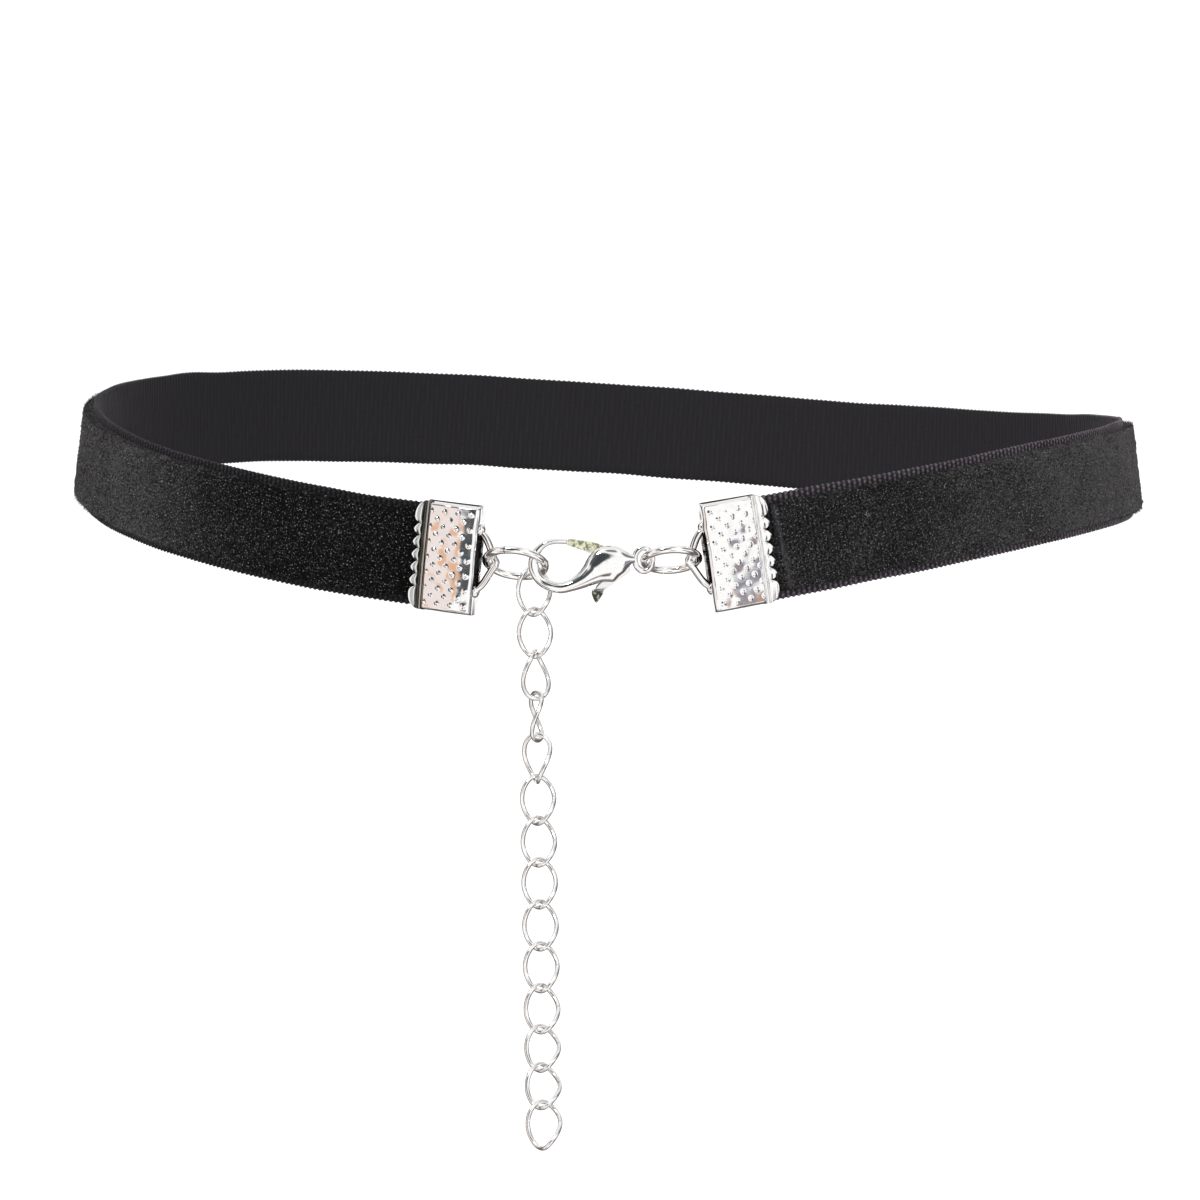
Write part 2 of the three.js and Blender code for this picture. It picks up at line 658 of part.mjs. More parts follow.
const leftOval = (t) => ovalPoint(LEFT_RING_LENGTH, RING_WIDTH, RING_WIRE, t);
const rightOval = (t) => ovalPoint(RIGHT_RING_LENGTH, RING_WIDTH, RING_WIRE, t);
const ringAlong = (oval) => wireRing(oval, RING_WIRE, WIRE_SIDES, RING_STEPS);
const leftRing = ringFrame(ringEnd(left.frame), leftAnchor, LEFT_RING_TILT);
const rightRing = ringFrame(rightAnchor, ringEnd(right.frame), RIGHT_RING_TILT);
addPiece(choker, 'ring_left', ringAlong(leftOval), material.plated, leftRing);
addPiece(choker, 'ring_right', ringAlong(rightOval), material.plated, rightRing);

const hangPoint = leftOval(CHAIN_START / (2 * Math.PI)).applyMatrix4(leftRing);
const link = wireRing(linkPoint, LINK_WIRE, WIRE_SIDES, LINK_STEPS);
chainMatrices(hangPoint).forEach((matrix, index) => {
  const number = String(index + 1).padStart(2, '0');
  addPiece(choker, `chain_link_${number}`, link, material.plated, matrix);
});

export default choker;
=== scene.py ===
import math
import bpy
import numpy as np
from mathutils import Matrix, Vector


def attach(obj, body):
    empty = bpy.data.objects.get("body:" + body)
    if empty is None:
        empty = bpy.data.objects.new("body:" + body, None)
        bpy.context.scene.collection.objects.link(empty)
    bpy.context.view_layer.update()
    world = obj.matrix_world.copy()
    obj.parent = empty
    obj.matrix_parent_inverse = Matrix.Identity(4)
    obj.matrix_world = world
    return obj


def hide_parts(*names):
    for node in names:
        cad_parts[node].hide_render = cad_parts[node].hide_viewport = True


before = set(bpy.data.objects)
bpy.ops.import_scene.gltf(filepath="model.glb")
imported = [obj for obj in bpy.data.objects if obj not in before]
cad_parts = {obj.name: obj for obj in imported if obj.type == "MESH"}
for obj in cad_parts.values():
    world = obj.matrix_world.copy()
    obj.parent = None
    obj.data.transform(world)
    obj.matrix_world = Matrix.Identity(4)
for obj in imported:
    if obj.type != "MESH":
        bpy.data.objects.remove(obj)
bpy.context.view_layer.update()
print("frame loaded with", len(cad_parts), "nodes")

# Lengths in the dictionaries are millimetres, angles are degrees.
mm = 0.001
turnAround = 2 * math.pi
rng = np.random.default_rng(23)


class Wire:  # a shader socket: sums and products of it add the nodes they need
    def __init__(self, finish, socket):
        self.finish, self.socket = finish, socket

    def join(self, operation, other, swapped=False):
        first, second = (other, self) if swapped else (self, other)
        kind = "ShaderNodeVectorMath" if self.socket.type == "VECTOR" else "ShaderNodeMath"
        return self.finish.add(kind, {"operation": operation}, {0: first, 1: second})

    def __add__(self, other): return self.join("ADD", other)
    def __sub__(self, other): return self.join("SUBTRACT", other)
    def __mul__(self, other): return self.join("MULTIPLY", other)
    def __rsub__(self, other): return self.join("SUBTRACT", other, swapped=True)
    __radd__, __rmul__ = __add__, __mul__

    def output(self, name):  # another output of the same node
        return Wire(self.finish, self.socket.node.outputs[name])


class Finish:  # the node tree of a material or of the world
    def __init__(self, owner):
        owner.use_nodes = True
        self.tree = owner.node_tree
        self.tree.nodes.clear()

    def add(self, kind, settings=None, values=None, output=0):
        node = self.tree.nodes.new(kind)
        for name, setting in (settings or {}).items():
            setattr(node, name, setting)
        for name, value in (values or {}).items():
            if isinstance(value, Wire):
                self.tree.links.new(value.socket, node.inputs[name])
            else:
                node.inputs[name].default_value = value
        return Wire(self, node.outputs[output]) if len(node.outputs) else None

    def blend(self, share, first, second):
        # sockets 6 and 7 of a Mix node are its two colours, output 2 is the mixed one
        ends = {6 + k: end if isinstance(end, Wire) else (*end, 1) for k, end in enumerate((first, second))}
        return self.add("ShaderNodeMix", {"data_type": "RGBA"}, {0: share, **ends}, output=2)

    def noise(self, place, scale, detail=2.0, rough=0.5):
        values = {"Vector": place, "Scale": scale, "Detail": detail, "Roughness": rough}
        return self.add("ShaderNodeTexNoise", {}, values)

    def ease(self, value, low, high):  # 0 below low, 1 above high, smooth between
        ends = {"Value": value, "From Min": low, "From Max": high}
        return self.add("ShaderNodeMapRange", {"interpolation_type": "SMOOTHSTEP"}, ends)

    def place(self, name="lay"):  # the coordinates that a piece's mesh carries
        return self.add("ShaderNodeAttribute", {"attribute_name": name}, output="Vector")

    def parts(self, vector):
        split = self.add("ShaderNodeSeparateXYZ", {}, {0: vector})
        return [split.output(axis) for axis in "XYZ"]

    def gather(self, x, y, z):
        return self.add("ShaderNodeCombineXYZ", {}, {0: x, 1: y, 2: z})

    def surface(self, values):
        shader = self.add("ShaderNodeBsdfPrincipled", {}, values)
        self.add("ShaderNodeOutputMaterial", {}, {"Surface": shader})


def newFinish(name):
    material = bpy.data.materials.new(name)
    return material, Finish(material)


def unit(rows):
    rows = np.asarray(rows, float)
    return rows / np.linalg.norm(rows, axis=-1, keepdims=True)


def signedVolume(points, quads):
    a, b, c, d = (points[quads[:, k]] for k in range(4))
    return np.einsum("ij,ij->i", a, np.cross(b, c) + np.cross(c, d)).sum() / 6


# Rows of closed sections; the ends are capped unless the rows close on each other
def loft(rows, ring=False):
    count, sides = rows.shape[:2]
    points = rows.reshape(-1, 3)
    index = np.arange(count * sides).reshape(count, sides)
    here = index if ring else index[:-1]
    there = np.roll(index, -1, axis=0) if ring else index[1:]
    quads = np.stack([here, there, np.roll(there, -1, axis=1), np.roll(here, -1, axis=1)], axis=-1)
    quads = quads.reshape(-1, 4)
    flipped = signedVolume(points, quads) < 0
    if flipped:
        quads = quads[:, ::-1]
    faces = quads.tolist()
    if not ring:
        ends = [index[0].tolist(), index[-1][::-1].tolist()]
        faces += [end[::-1] for end in ends] if flipped else ends
    return points, faces


def tube(path, radius, sides, ring=False, towards=None):  # a round wire along a path of points
    path = np.asarray(path, float)
    ahead = (np.roll(path, -1, axis=0) - np.roll(path, 1, axis=0)) if ring else np.gradient(path, axis=0)
    ahead = unit(ahead)
    towards = path - path.mean(axis=0) if towards is None else np.broadcast_to(towards, path.shape)
    outward = unit(towards - ahead * np.einsum("ij,ij->i", towards, ahead)[:, None])
    across = np.cross(ahead, outward)
    angles = np.arange(sides) * turnAround / sides
    radius = np.broadcast_to(radius, len(path))[:, None, None]
    cosine, sine = np.cos(angles)[None, :, None], np.sin(angles)[None, :, None]
    return loft(path[:, None] + radius * (cosine * outward[:, None] + sine * across[:, None]), ring)


def merge(*shells):
    points, faces, offset = [], [], 0
    for shellPoints, shellFaces in shells:
        points.append(shellPoints)
        faces += [[corner + offset for corner in face] for face in shellFaces]
        offset += len(shellPoints)
    return np.concatenate(points), faces


def moved(shell, matrix):
    points, faces = shell
    matrix = np.array(matrix, float)
    return points @ matrix[:3, :3].T + matrix[:3, 3], faces


def inMetres(matrix):
    matrix = matrix.copy()
    matrix.translation *= mm
    return matrix


def meshFrom(name, shell, smooth=True):
    points, faces = shell
    mesh = bpy.data.meshes.new(name)
    mesh.from_pydata((points * mm).tolist(), [], faces)
    mesh.polygons.foreach_set("use_smooth", [smooth] * len(mesh.polygons))
    mesh.update()
    piece = bpy.data.objects.new(name, mesh)
    bpy.context.collection.objects.link(piece)
    return piece


def carry(piece, values, name="lay"):  # coordinates for the finish, one vector for each vertex
    layer = piece.data.attributes.new(name, "FLOAT_VECTOR", "POINT")
    layer.data.foreach_set("vector", np.asarray(values, np.float32).ravel())


def dress(piece, material, body="necklace", nodes=()):
    piece.data.materials.clear()
    piece.data.materials.append(material)
    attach(piece, body)
    if nodes:
        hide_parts(*nodes)


def crisp(piece, limit=35):  # smooth shading that keeps edges sharper than the limit
    piece.data.set_sharp_from_angle(angle=math.radians(limit))


def settle(piece):  # keeps what the modifiers make as the piece's own mesh
    piece.data = bpy.data.meshes.new_from_object(piece.evaluated_get(bpy.context.evaluated_depsgraph_get()))
    piece.modifiers.clear()


def cut(piece, cutter, operation="DIFFERENCE"):
    change = piece.modifiers.new("cut", "BOOLEAN")
    change.operation, change.solver, change.object = operation, "EXACT", cutter
    settle(piece)
    bpy.data.objects.remove(cutter)


def bevelled(piece, width, steps=2, limit=30):
    change = piece.modifiers.new("edges", "BEVEL")
    change.width, change.segments = width * mm, steps
    change.limit_method, change.angle_limit = "ANGLE", math.radians(limit)
    settle(piece)


def shadeSmooth(piece, limit):
    for polygon in piece.data.polygons:
        polygon.use_smooth = True
    crisp(piece, limit)


# Smooth random heights over a grid, with features a few rows and columns wide
def patches(shape, cells):
    coarse = rng.normal(size=[max(2, int(size / cell) + 2) for size, cell in zip(shape, cells)])
    for axis in (0, 1):
        at = np.linspace(0, coarse.shape[axis] - 1.001, shape[axis])
        low = at.astype(int)
        share = at - low
        share = share * share * (3 - 2 * share)
        share = share[:, None] if axis == 0 else share[None, :]
        coarse = np.take(coarse, low, axis) * (1 - share) + np.take(coarse, low + 1, axis) * share
    return coarse


def rounded(outline, passes=2):  # cuts the corners of a closed outline again and again
    outline = np.asarray(outline, float)
    for _ in range(passes):
        ahead = np.roll(outline, -1, axis=0)
        outline = np.stack([0.75 * outline + 0.25 * ahead, 0.25 * outline + 0.75 * ahead], axis=1).reshape(-1, 2)
    return outline


def plate(name, outline, thickness):  # a flat plate with its outline in the XZ plane, centred on Y
    low = np.column_stack([outline[:, 0], np.full(len(outline), -thickness / 2), outline[:, 1]])
    high = low + (0, thickness, 0)
    return meshFrom(name, loft(np.stack([low, high])))


def curveThrough(points, count):  # a smooth open curve through rows of numbers
    points = np.asarray(points, float)
    points = np.vstack([2 * points[0] - points[1], points, 2 * points[-1] - points[-2]])
    at = np.linspace(0, len(points) - 3 - 1e-9, count)
    k = at.astype(int)
    t = (at - k)[:, None]
    a, b, c, d = (points[k + n] for n in range(4))
    return 0.5 * (2 * b + (c - a) * t + (2 * a - 5 * b + 4 * c - d) * t ** 2 + (3 * b - a - 3 * c + d) * t ** 3)


# The camera, soft light and a pale floor
view = {
    "place": (0, -649.53, 33.741), "down": 4.31, "left": 0.075, "lens": 189.74, "sensor": 36,
    "nearest": 0.01, "furthest": 50,
}
down, left = math.radians(view["down"]), math.radians(view["left"])
ahead = Vector((-math.sin(left) * math.cos(down), math.cos(left) * math.cos(down), -math.sin(down)))
level = ahead.cross(Vector((0, 0, 1))).normalized()
turned = Matrix((level, level.cross(ahead), -ahead)).transposed().to_4x4()
camera = bpy.data.objects.new("camera", bpy.data.cameras.new("camera"))
camera.data.lens, camera.data.sensor_width = view["lens"], view["sensor"]
camera.data.clip_start, camera.data.clip_end = view["nearest"], view["furthest"]
camera.matrix_world = Matrix.Translation(Vector(view["place"]) * mm) @ turned
bpy.context.collection.objects.link(camera)
bpy.context.scene.camera = camera
bpy.context.scene.view_settings.view_transform = "Standard"

studio = {
    "floorHeight": -86, "floorReach": 3000, "floorColour": (0.93, 0.93, 0.93),
    "strength": 1.12, "flag": (0.075, 0.058, 0.048), "flagFrom": -0.2, "flagTo": 0.84, "flagSoft": 0.16,
    "sun": {"towards": (-0.45, -0.5, 0.74), "strength": 0.9, "angle": 12},
}
# Cards round the necklace, which only the metal sees: towards, inner and outer spread, colour
cards = [
    {"towards": (-0.3, -0.87, 0.38), "inner": 18, "outer": 26, "colour": (0.05, 0.06, 0.065)},
    {"towards": (-0.62, -0.6, 0.5), "inner": 10, "outer": 18, "colour": (0.08, 0.09, 0.09)},
    {"towards": (-0.85, -0.53, -0.06), "inner": 12, "outer": 24, "colour": (0.86, 0.77, 0.74)},
    {"towards": (-0.68, -0.73, -0.06), "inner": 4, "outer": 9, "colour": (0.78, 0.46, 0.29)},
    {"towards": (-0.45, -0.89, -0.06), "inner": 8, "outer": 12, "colour": (0.08, 0.09, 0.1)},
    {"towards": (-0.55, -0.5, -0.67), "inner": 8, "outer": 18, "colour": (0.2, 0.16, 0.13)},
    {"towards": (0.15, -0.8, -0.58), "inner": 5, "outer": 12, "colour": (0.2, 0.15, 0.12)},
    {"towards": (0.74, -0.64, -0.21), "inner": 7, "outer": 12, "colour": (0.24, 0.25, 0.3)},
    {"towards": (0.66, -0.72, -0.22), "inner": 1, "outer": 6, "colour": (0.5, 0.31, 0.22)},
    {"towards": (0.78, -0.25, 0.57), "inner": 12, "outer": 24, "colour": (0.2, 0.19, 0.2)},
    {"towards": (0.9, -0.2, -0.5), "inner": 14, "outer": 24, "colour": (0.14, 0.13, 0.14)},
    {"towards": (0.1, -0.5, 0.86), "inner": 7, "outer": 15, "colour": (0.22, 0.22, 0.24)},
    {"towards": (-0.6, -0.25, 0.76), "inner": 8, "outer": 16, "colour": (0.2, 0.19, 0.18)},
    {"towards": (0.0, 0.1, -1.0), "inner": 16, "outer": 30, "colour": (0.25, 0.21, 0.19)},
]
world = bpy.data.worlds.new("studio")
bpy.context.scene.world = world
sky = Finish(world)
towards = sky.add("ShaderNodeTexCoord", output="Generated")
towards = sky.add("ShaderNodeVectorMath", {"operation": "NORMALIZE"}, {0: towards})
_, behind, above = sky.parts(towards)
behind = behind + sky.noise(towards, 2.3, 2) * 0.3 - 0.15
soft = studio["flagSoft"]
flagged = sky.ease(behind, studio["flagFrom"], studio["flagFrom"] + soft)
flagged = flagged * (1.0 - sky.ease(behind, studio["flagTo"] - soft, studio["flagTo"]))
flagged = flagged * (1.0 - sky.ease(above, 0.3, 0.7) * 0.8)
lit = sky.blend(flagged * 0.95, (1, 1, 1), studio["flag"])
for card in cards:
    aim = {0: towards, 1: Vector(card["towards"]).normalized()}
    facing = sky.add("ShaderNodeVectorMath", {"operation": "DOT_PRODUCT"}, aim, output="Value")
    outer, inner = (math.cos(math.radians(card[name])) for name in ("outer", "inner"))
    lit = sky.blend(sky.ease(facing, outer, inner), lit, card["colour"])
mirrored = sky.add("ShaderNodeLightPath", output="Is Glossy Ray")
lit = sky.blend(mirrored, (1, 1, 1), lit)
background = sky.add("ShaderNodeBackground", {}, {"Color": lit, "Strength": studio["strength"]})
sky.add("ShaderNodeOutputWorld", {}, {"Surface": background})

sun = bpy.data.objects.new("sun", bpy.data.lights.new("sun", "SUN"))
sun.data.energy, sun.data.angle = studio["sun"]["strength"], math.radians(studio["sun"]["angle"])
sun.rotation_euler = Vector(studio["sun"]["towards"]).to_track_quat("Z", "Y").to_euler()
bpy.context.collection.objects.link(sun)

reach = studio["floorReach"]
corners = np.array([(-reach, -reach, 0), (reach, -reach, 0), (reach, reach, 0), (-reach, reach, 0)], float)
floor = meshFrom("floor", (corners + (0, 0, studio["floorHeight"]), [[0, 1, 2, 3]]), smooth=False)
floor.visible_glossy = False
floorFinish, paint = newFinish("pale_floor")
spread = paint.noise(paint.add("ShaderNodeTexCoord", output="Object"), 9.0)
paint.surface({"Base Color": paint.blend(spread, studio["floorColour"], (0.95, 0.95, 0.95)), "Roughness": 0.85})
floor.data.materials.append(floorFinish)
print("studio ready")


# The path of the band
loop = {"halfWidth": 53, "halfDepth": 50.35, "drop": 8.9, "steady": 35, "levelFrom": 120, "tilt": -1.0, "skew": 1.37}
climbRun = math.radians(loop["levelFrom"] - loop["steady"])
climbRate = loop["drop"] / (math.radians(loop["steady"]) + climbRun / 2)


def band(turns):  # turns are angles round the loop from the clasp, in radians
    signed = np.arctan2(np.sin(turns), np.cos(turns))
    away = np.abs(signed)
    steady = math.radians(loop["steady"])
    u = np.clip((away - steady) / climbRun, 0, 1)
    height = climbRate * (np.minimum(away, steady) + climbRun * (u - u ** 3 + u ** 4 / 2)) - loop["drop"]
    height = height + loop["tilt"] * np.sin(signed) + loop["skew"] * np.sin(2 * signed)
    climb = climbRate * (1 - 3 * u ** 2 + 2 * u ** 3) * np.sign(signed)
    climb = climb + loop["tilt"] * np.cos(signed) + 2 * loop["skew"] * np.cos(2 * signed)
    lean = 6 * climbRate * (u - u ** 2) / climbRun / loop["halfWidth"]
    centre = np.stack([loop["halfWidth"] * np.sin(turns), -loop["halfDepth"] * np.cos(turns), height], axis=-1)
    along = unit(np.stack([loop["halfWidth"] * np.cos(turns), loop["halfDepth"] * np.sin(turns), climb], axis=-1))
    upright = unit(np.array([0, 0, 1]) - along * along[..., 2:3])
    out = np.cross(along, upright)
    cosLean, sinLean = np.cos(lean)[..., None], np.sin(lean)[..., None]
    return centre, along, upright * cosLean - out * sinLean, out * cosLean + upright * sinLean


# The ribbon: a woven ground, its pile, loose pile ends and a few stray threads
ribbon = {
    "width": 10, "ground": 0.5, "pileWidth": 8.4, "pile": 1.0, "crushed": 0.3, "crushRun": 1.6,
    "cell": 0.2, "weavePitch": 0.55, "weaveSteps": 4, "weaveHeight": 0.09, "grain": 0.055, "brushAndPaintedSheen": 0.012,
    "linePitch": 0.42, "ribPitch": 0.44, "edgeRipple": 0.13,
    "creaseAt": 1.05, "creaseWidth": 0.16, "creaseDepth": 0.22,
    # shares of the free length and how far the pile leans towards the viewer there, which only paints the pile's colour
    # lighter as painted sheen
    "paintedLightAndMarks": ([0, 0.04, 0.08, 0.14, 0.2, 0.27, 0.5, 0.82, 0.88, 0.91, 0.93, 1],
            [0.1, 0.16, 0.5, 0.9, 1, 0.85, 0.5, 0.5, 0.62, 0.25, -0.05, -0.25]),
    # shares of the free length and how pale the woven edges are there, as painted sheen
    "paintedEdgeSheen": ([0, 0.14, 0.27, 0.5, 0.75, 1], [0.7, 0.85, 1, 0.6, 0.25, 0.0]),
}


def velvetFinish():
    material, paint = newFinish("velvet_pile")
    along, across, _ = paint.parts(paint.place())
    # the second channel is painted sheen: how much lighter the pile's colour is made where it leans towards the viewer
    press, brushAndPaintedSheen, lines = paint.parts(paint.place("paintedLightAndMarks"))
    flat = paint.gather(along, across, 0.0)
    grain = paint.noise(flat, 4.6, 4, 0.72)
    tuft = paint.noise(flat, 1.5, 2, 0.6)
    cloud = paint.noise(flat, 0.16, 2, 0.5)
    # the painted sheen also lifts the tone
    tone = paint.ease(grain * 0.8 + tuft * 0.2 + cloud * 0.12 + brushAndPaintedSheen * 0.12, 0.55, 0.79)
    base = paint.blend(tone, (0.0017, 0.0018, 0.0016), (0.08, 0.078, 0.076))
    blue = paint.ease(paint.noise(flat, 6.0, 1, 0.5), 0.63, 0.74)
    plum = paint.ease(paint.noise(flat + (31.0, 7.0, 0.0), 5.0, 1, 0.5), 0.64, 0.76)
    base = paint.blend(blue * 0.75, base, (0.02, 0.024, 0.048))
    base = paint.blend(plum * 0.65, base, (0.05, 0.028, 0.042))
    # painted sheen: a lighter colour where the pile leans towards the viewer
    base = paint.blend(brushAndPaintedSheen * 0.32, base, (0.048, 0.045, 0.048))
    fleck = paint.ease(paint.noise(flat, 6.0, 1, 0.5), 0.64, 0.73)
    base = paint.blend(fleck * 0.75, base, (0.24, 0.25, 0.25))
    weave = paint.add("ShaderNodeMath", {"operation": "SINE"}, {0: along * (turnAround / ribbon["linePitch"])})
    base = paint.blend((weave * 0.5 + 0.5) * lines * grain * 0.32, base, (0.07, 0.064, 0.068))
    base = paint.blend(press * tuft, base, (0.09, 0.085, 0.1))
    bump = paint.add("ShaderNodeBump", {}, {"Strength": 0.6, "Distance": 0.0001, "Height": grain + tuft * 0.5})
    paint.surface({
        "Base Color": base, "Roughness": 0.9, "Normal": bump, "Specular IOR Level": 0.08,
        "Sheen Weight": 0.1, "Sheen Roughness": 0.3, "Sheen Tint": (0.7, 0.64, 0.64, 1),
    })
    return material


def groundFinish():
    material, paint = newFinish("woven_ground")
    along, across, hill = paint.parts(paint.place())
    # the second channel is painted sheen on the woven edges
    _, brushAndPaintedSheen, inner = paint.parts(paint.place("paintedLightAndMarks"))
    flat = paint.gather(along, across, 0.0)
    thread = paint.noise(flat, 4.5, 2, 0.6)
    cloud = paint.noise(flat, 0.22, 1, 0.5)
    tone = paint.ease(hill * 0.66 + thread * 0.6 + cloud * 0.25, 0.5, 1.15)
    dark = paint.blend(tone, (0.004, 0.004, 0.005), (0.03, 0.027, 0.032))
    pale = paint.blend(tone, (0.022, 0.019, 0.023), (0.22, 0.185, 0.22))
    # painted sheen: the woven edges turn pale where the channel is high
    base = paint.blend(brushAndPaintedSheen, dark, pale)
    back = paint.blend(thread * 0.7 + hill * 0.3, (0.007, 0.0065, 0.0075), (0.022, 0.02, 0.023))
    base = paint.blend(inner, base, back)
    bump = paint.add("ShaderNodeBump", {}, {"Strength": 0.5, "Distance": 0.00008, "Height": thread})
    paint.surface({
        "Base Color": base, "Roughness": 0.75, "Normal": bump, "Specular IOR Level": 0.15,
        "Sheen Weight": 0.08, "Sheen Roughness": 0.4, "Sheen Tint": (0.8, 0.74, 0.8, 1),
    })
    return material


def lintFinish():
    material, paint = newFinish("pale_lint")
    tone = paint.noise(paint.add("ShaderNodeTexCoord", output="Object"), 1500.0)
    paint.surface({"Base Color": paint.blend(tone, (0.1, 0.1, 0.12), (0.3, 0.3, 0.32)), "Roughness": 0.8})
    return material


def arcPlaces(turns):  # length run along the band from the right crimp's mouth
    fine = np.linspace(ribbonEnds[0], ribbonEnds[1], 4001)
    centre = band(fine)[0]
    run = np.concatenate([[0], np.cumsum(np.linalg.norm(np.diff(centre, axis=0), axis=1))])
    return np.interp(turns, fine, run) - np.interp(ribbonFree[0], fine, run), run[-1]


def freeLength():  # between the two crimps' mouths
    return arcPlaces(np.array([ribbonFree[1]]))[0][0]


def turnsEvery(pitch):
    fine = np.linspace(ribbonEnds[0], ribbonEnds[1], 4001)
    places, total = arcPlaces(fine)
    wanted = np.linspace(places[0], places[-1], int(round(total / pitch)) + 1)
    return np.interp(wanted, places, fine), wanted


def pileHeight(places, free):  # crushed where it enters a crimp
    clear = np.clip(np.minimum(places, free - places) / ribbon["crushRun"], 0, 1)
    return ribbon["crushed"] + (ribbon["pile"] - ribbon["crushed"]) * clear ** 2 * (3 - 2 * clear)


def onBand(turns, across, out):  # rows of points at distances across and out from the ribbon's middle
    centre, _, width, normal = band(turns)
    return centre[:, None] + width[:, None] * across[..., None] + normal[:, None] * out[..., None]


# how much painted sheen the pile's colour gets at a place along the band
def paintedSheenAt(places, free):
    return np.interp(np.clip(places / free, 0, 1), *ribbon["paintedLightAndMarks"])


def layers(shape, *rows):  # one vector for each point of a grid
    return np.stack([np.broadcast_to(row, shape) for row in rows], axis=-1)


def ribbonPile():
    turns, places = turnsEvery(ribbon["cell"])
    free, half = freeLength(), ribbon["pileWidth"] / 2
    flat = half - 0.34
    inner = np.linspace(flat, -flat, int(round(2 * flat / ribbon["cell"])) + 1)
    # the tufts at the two edges bow out over the ground
    edge = [(half - 0.04, -0.06), (half + 0.05, 0.3), (half + 0.06, 0.6), (half - 0.03, 0.86), (half - 0.17, 0.97)]
    across = np.concatenate([[at for at, _ in edge], inner, [-at for at, _ in edge[::-1]]])
    rise = np.concatenate([[up for _, up in edge], np.ones(len(inner)), [up for _, up in edge[::-1]]])
    shape = (len(turns), len(across))
    height = pileHeight(places, free)[:, None] * rise[None, :]
    soft = np.clip(height - 0.25, 0, 0.5) * 2
    fromRight = places[:, None] + 0.06 * (across[None, :] + 1.5)
    crease = np.exp(-((fromRight - ribbon["creaseAt"]) / ribbon["creaseWidth"]) ** 2 * 2)
    crease = crease * (np.abs(across[None, :]) < half - 0.3) * (places[:, None] > 0)
    uneven = ribbon["grain"] * rng.normal(size=shape)
    uneven = uneven + ribbon["brushAndPaintedSheen"] * patches(shape, (9, 9)) + 0.03 * patches(shape, (2, 2))
    height = height + soft * uneven - ribbon["creaseDepth"] * crease
    sway = np.where(np.abs(across) > half - 0.2, 0.05, 0.0)[None, :] * rng.normal(size=shape)
    rows = onBand(turns, np.broadcast_to(across, shape) + sway, ribbon["ground"] / 2 + height)
    piece = meshFrom("ribbon_pile", loft(rows))
    carry(piece, layers(shape, places[:, None], across, 0.0))
    lines = np.clip(1 - places / 22, 0, 1) * (places > 0)
    # the second attribute carries the crease, the painted sheen and the weave lines
    carry(piece, layers(shape, np.clip(crease, 0, 1), paintedSheenAt(places, free)[:, None], lines[:, None]), "paintedLightAndMarks")
    dress(piece, velvet, nodes=["ribbon"])


def ribbonGround():
    turns, places = turnsEvery(ribbon["weavePitch"] / ribbon["weaveSteps"])
    half, face = ribbon["width"] / 2, ribbon["ground"] / 2
    under, inset, edgeThreads, backThreads = ribbon["pileWidth"] / 2 - 0.25, 0.12, 10, 13
    top = np.linspace(half, under, edgeThreads)
    bottom = np.linspace(-under, -half, edgeThreads)
    back = np.linspace(-half + inset, half - inset, backThreads)
    across = np.concatenate([top, bottom, back])
    inner = np.repeat([0.0, 1.0], [2 * edgeThreads, backThreads])
    out = face * (1 - 2 * inner)
    shape = (len(turns), len(across))
    column = 0.5 + 0.5 * np.cos(turnAround * places / ribbon["weavePitch"])[:, None]
    odd = np.floor(places / ribbon["weavePitch"] + 0.5)[:, None] % 2
    rib = 0.5 + 0.5 * np.cos(turnAround * (across[None, :] / ribbon["ribPitch"] + odd / 2))
    hill = column * (0.45 + 0.55 * rib)
    shown = (1 - 1.5 * inner)[None, :]
    lift = ribbon["weaveHeight"] * (hill - 0.6) * shown + 0.012 * rng.normal(size=shape)
    edge = (np.abs(np.abs(across) - half) < 0.01)[None, :]
    slack = 0.05 * patches((len(turns), 2), (40, 1))
    ripple = np.sign(across)[None, :] * ribbon["edgeRipple"] * (column - 0.6)
    reach = np.broadcast_to(across, shape) + np.where(edge, ripple, 0)
    slack = np.where(across[None, :] > 0, slack[:, :1], slack[:, 1:])
    reach = reach + slack * (np.abs(across) > under + 0.1)[None, :]
    rows = onBand(turns, reach, np.where(edge, face * 0.55, out[None, :]) + lift)
    piece = meshFrom("ribbon_ground", loft(rows))
    carry(piece, layers(shape, places[:, None], across, hill))
    # painted sheen on the woven edges, by place along the band
    pale = np.interp(places / freeLength(), *ribbon["paintedEdgeSheen"])
    carry(piece, layers(shape, 0.0, pale[:, None], inner), "paintedLightAndMarks")
    dress(piece, woven)


fibres = {"perEdge": 9000, "onFace": 14000, "length": (0.22, 0.5), "radius": 0.02, "lean": 0.5}


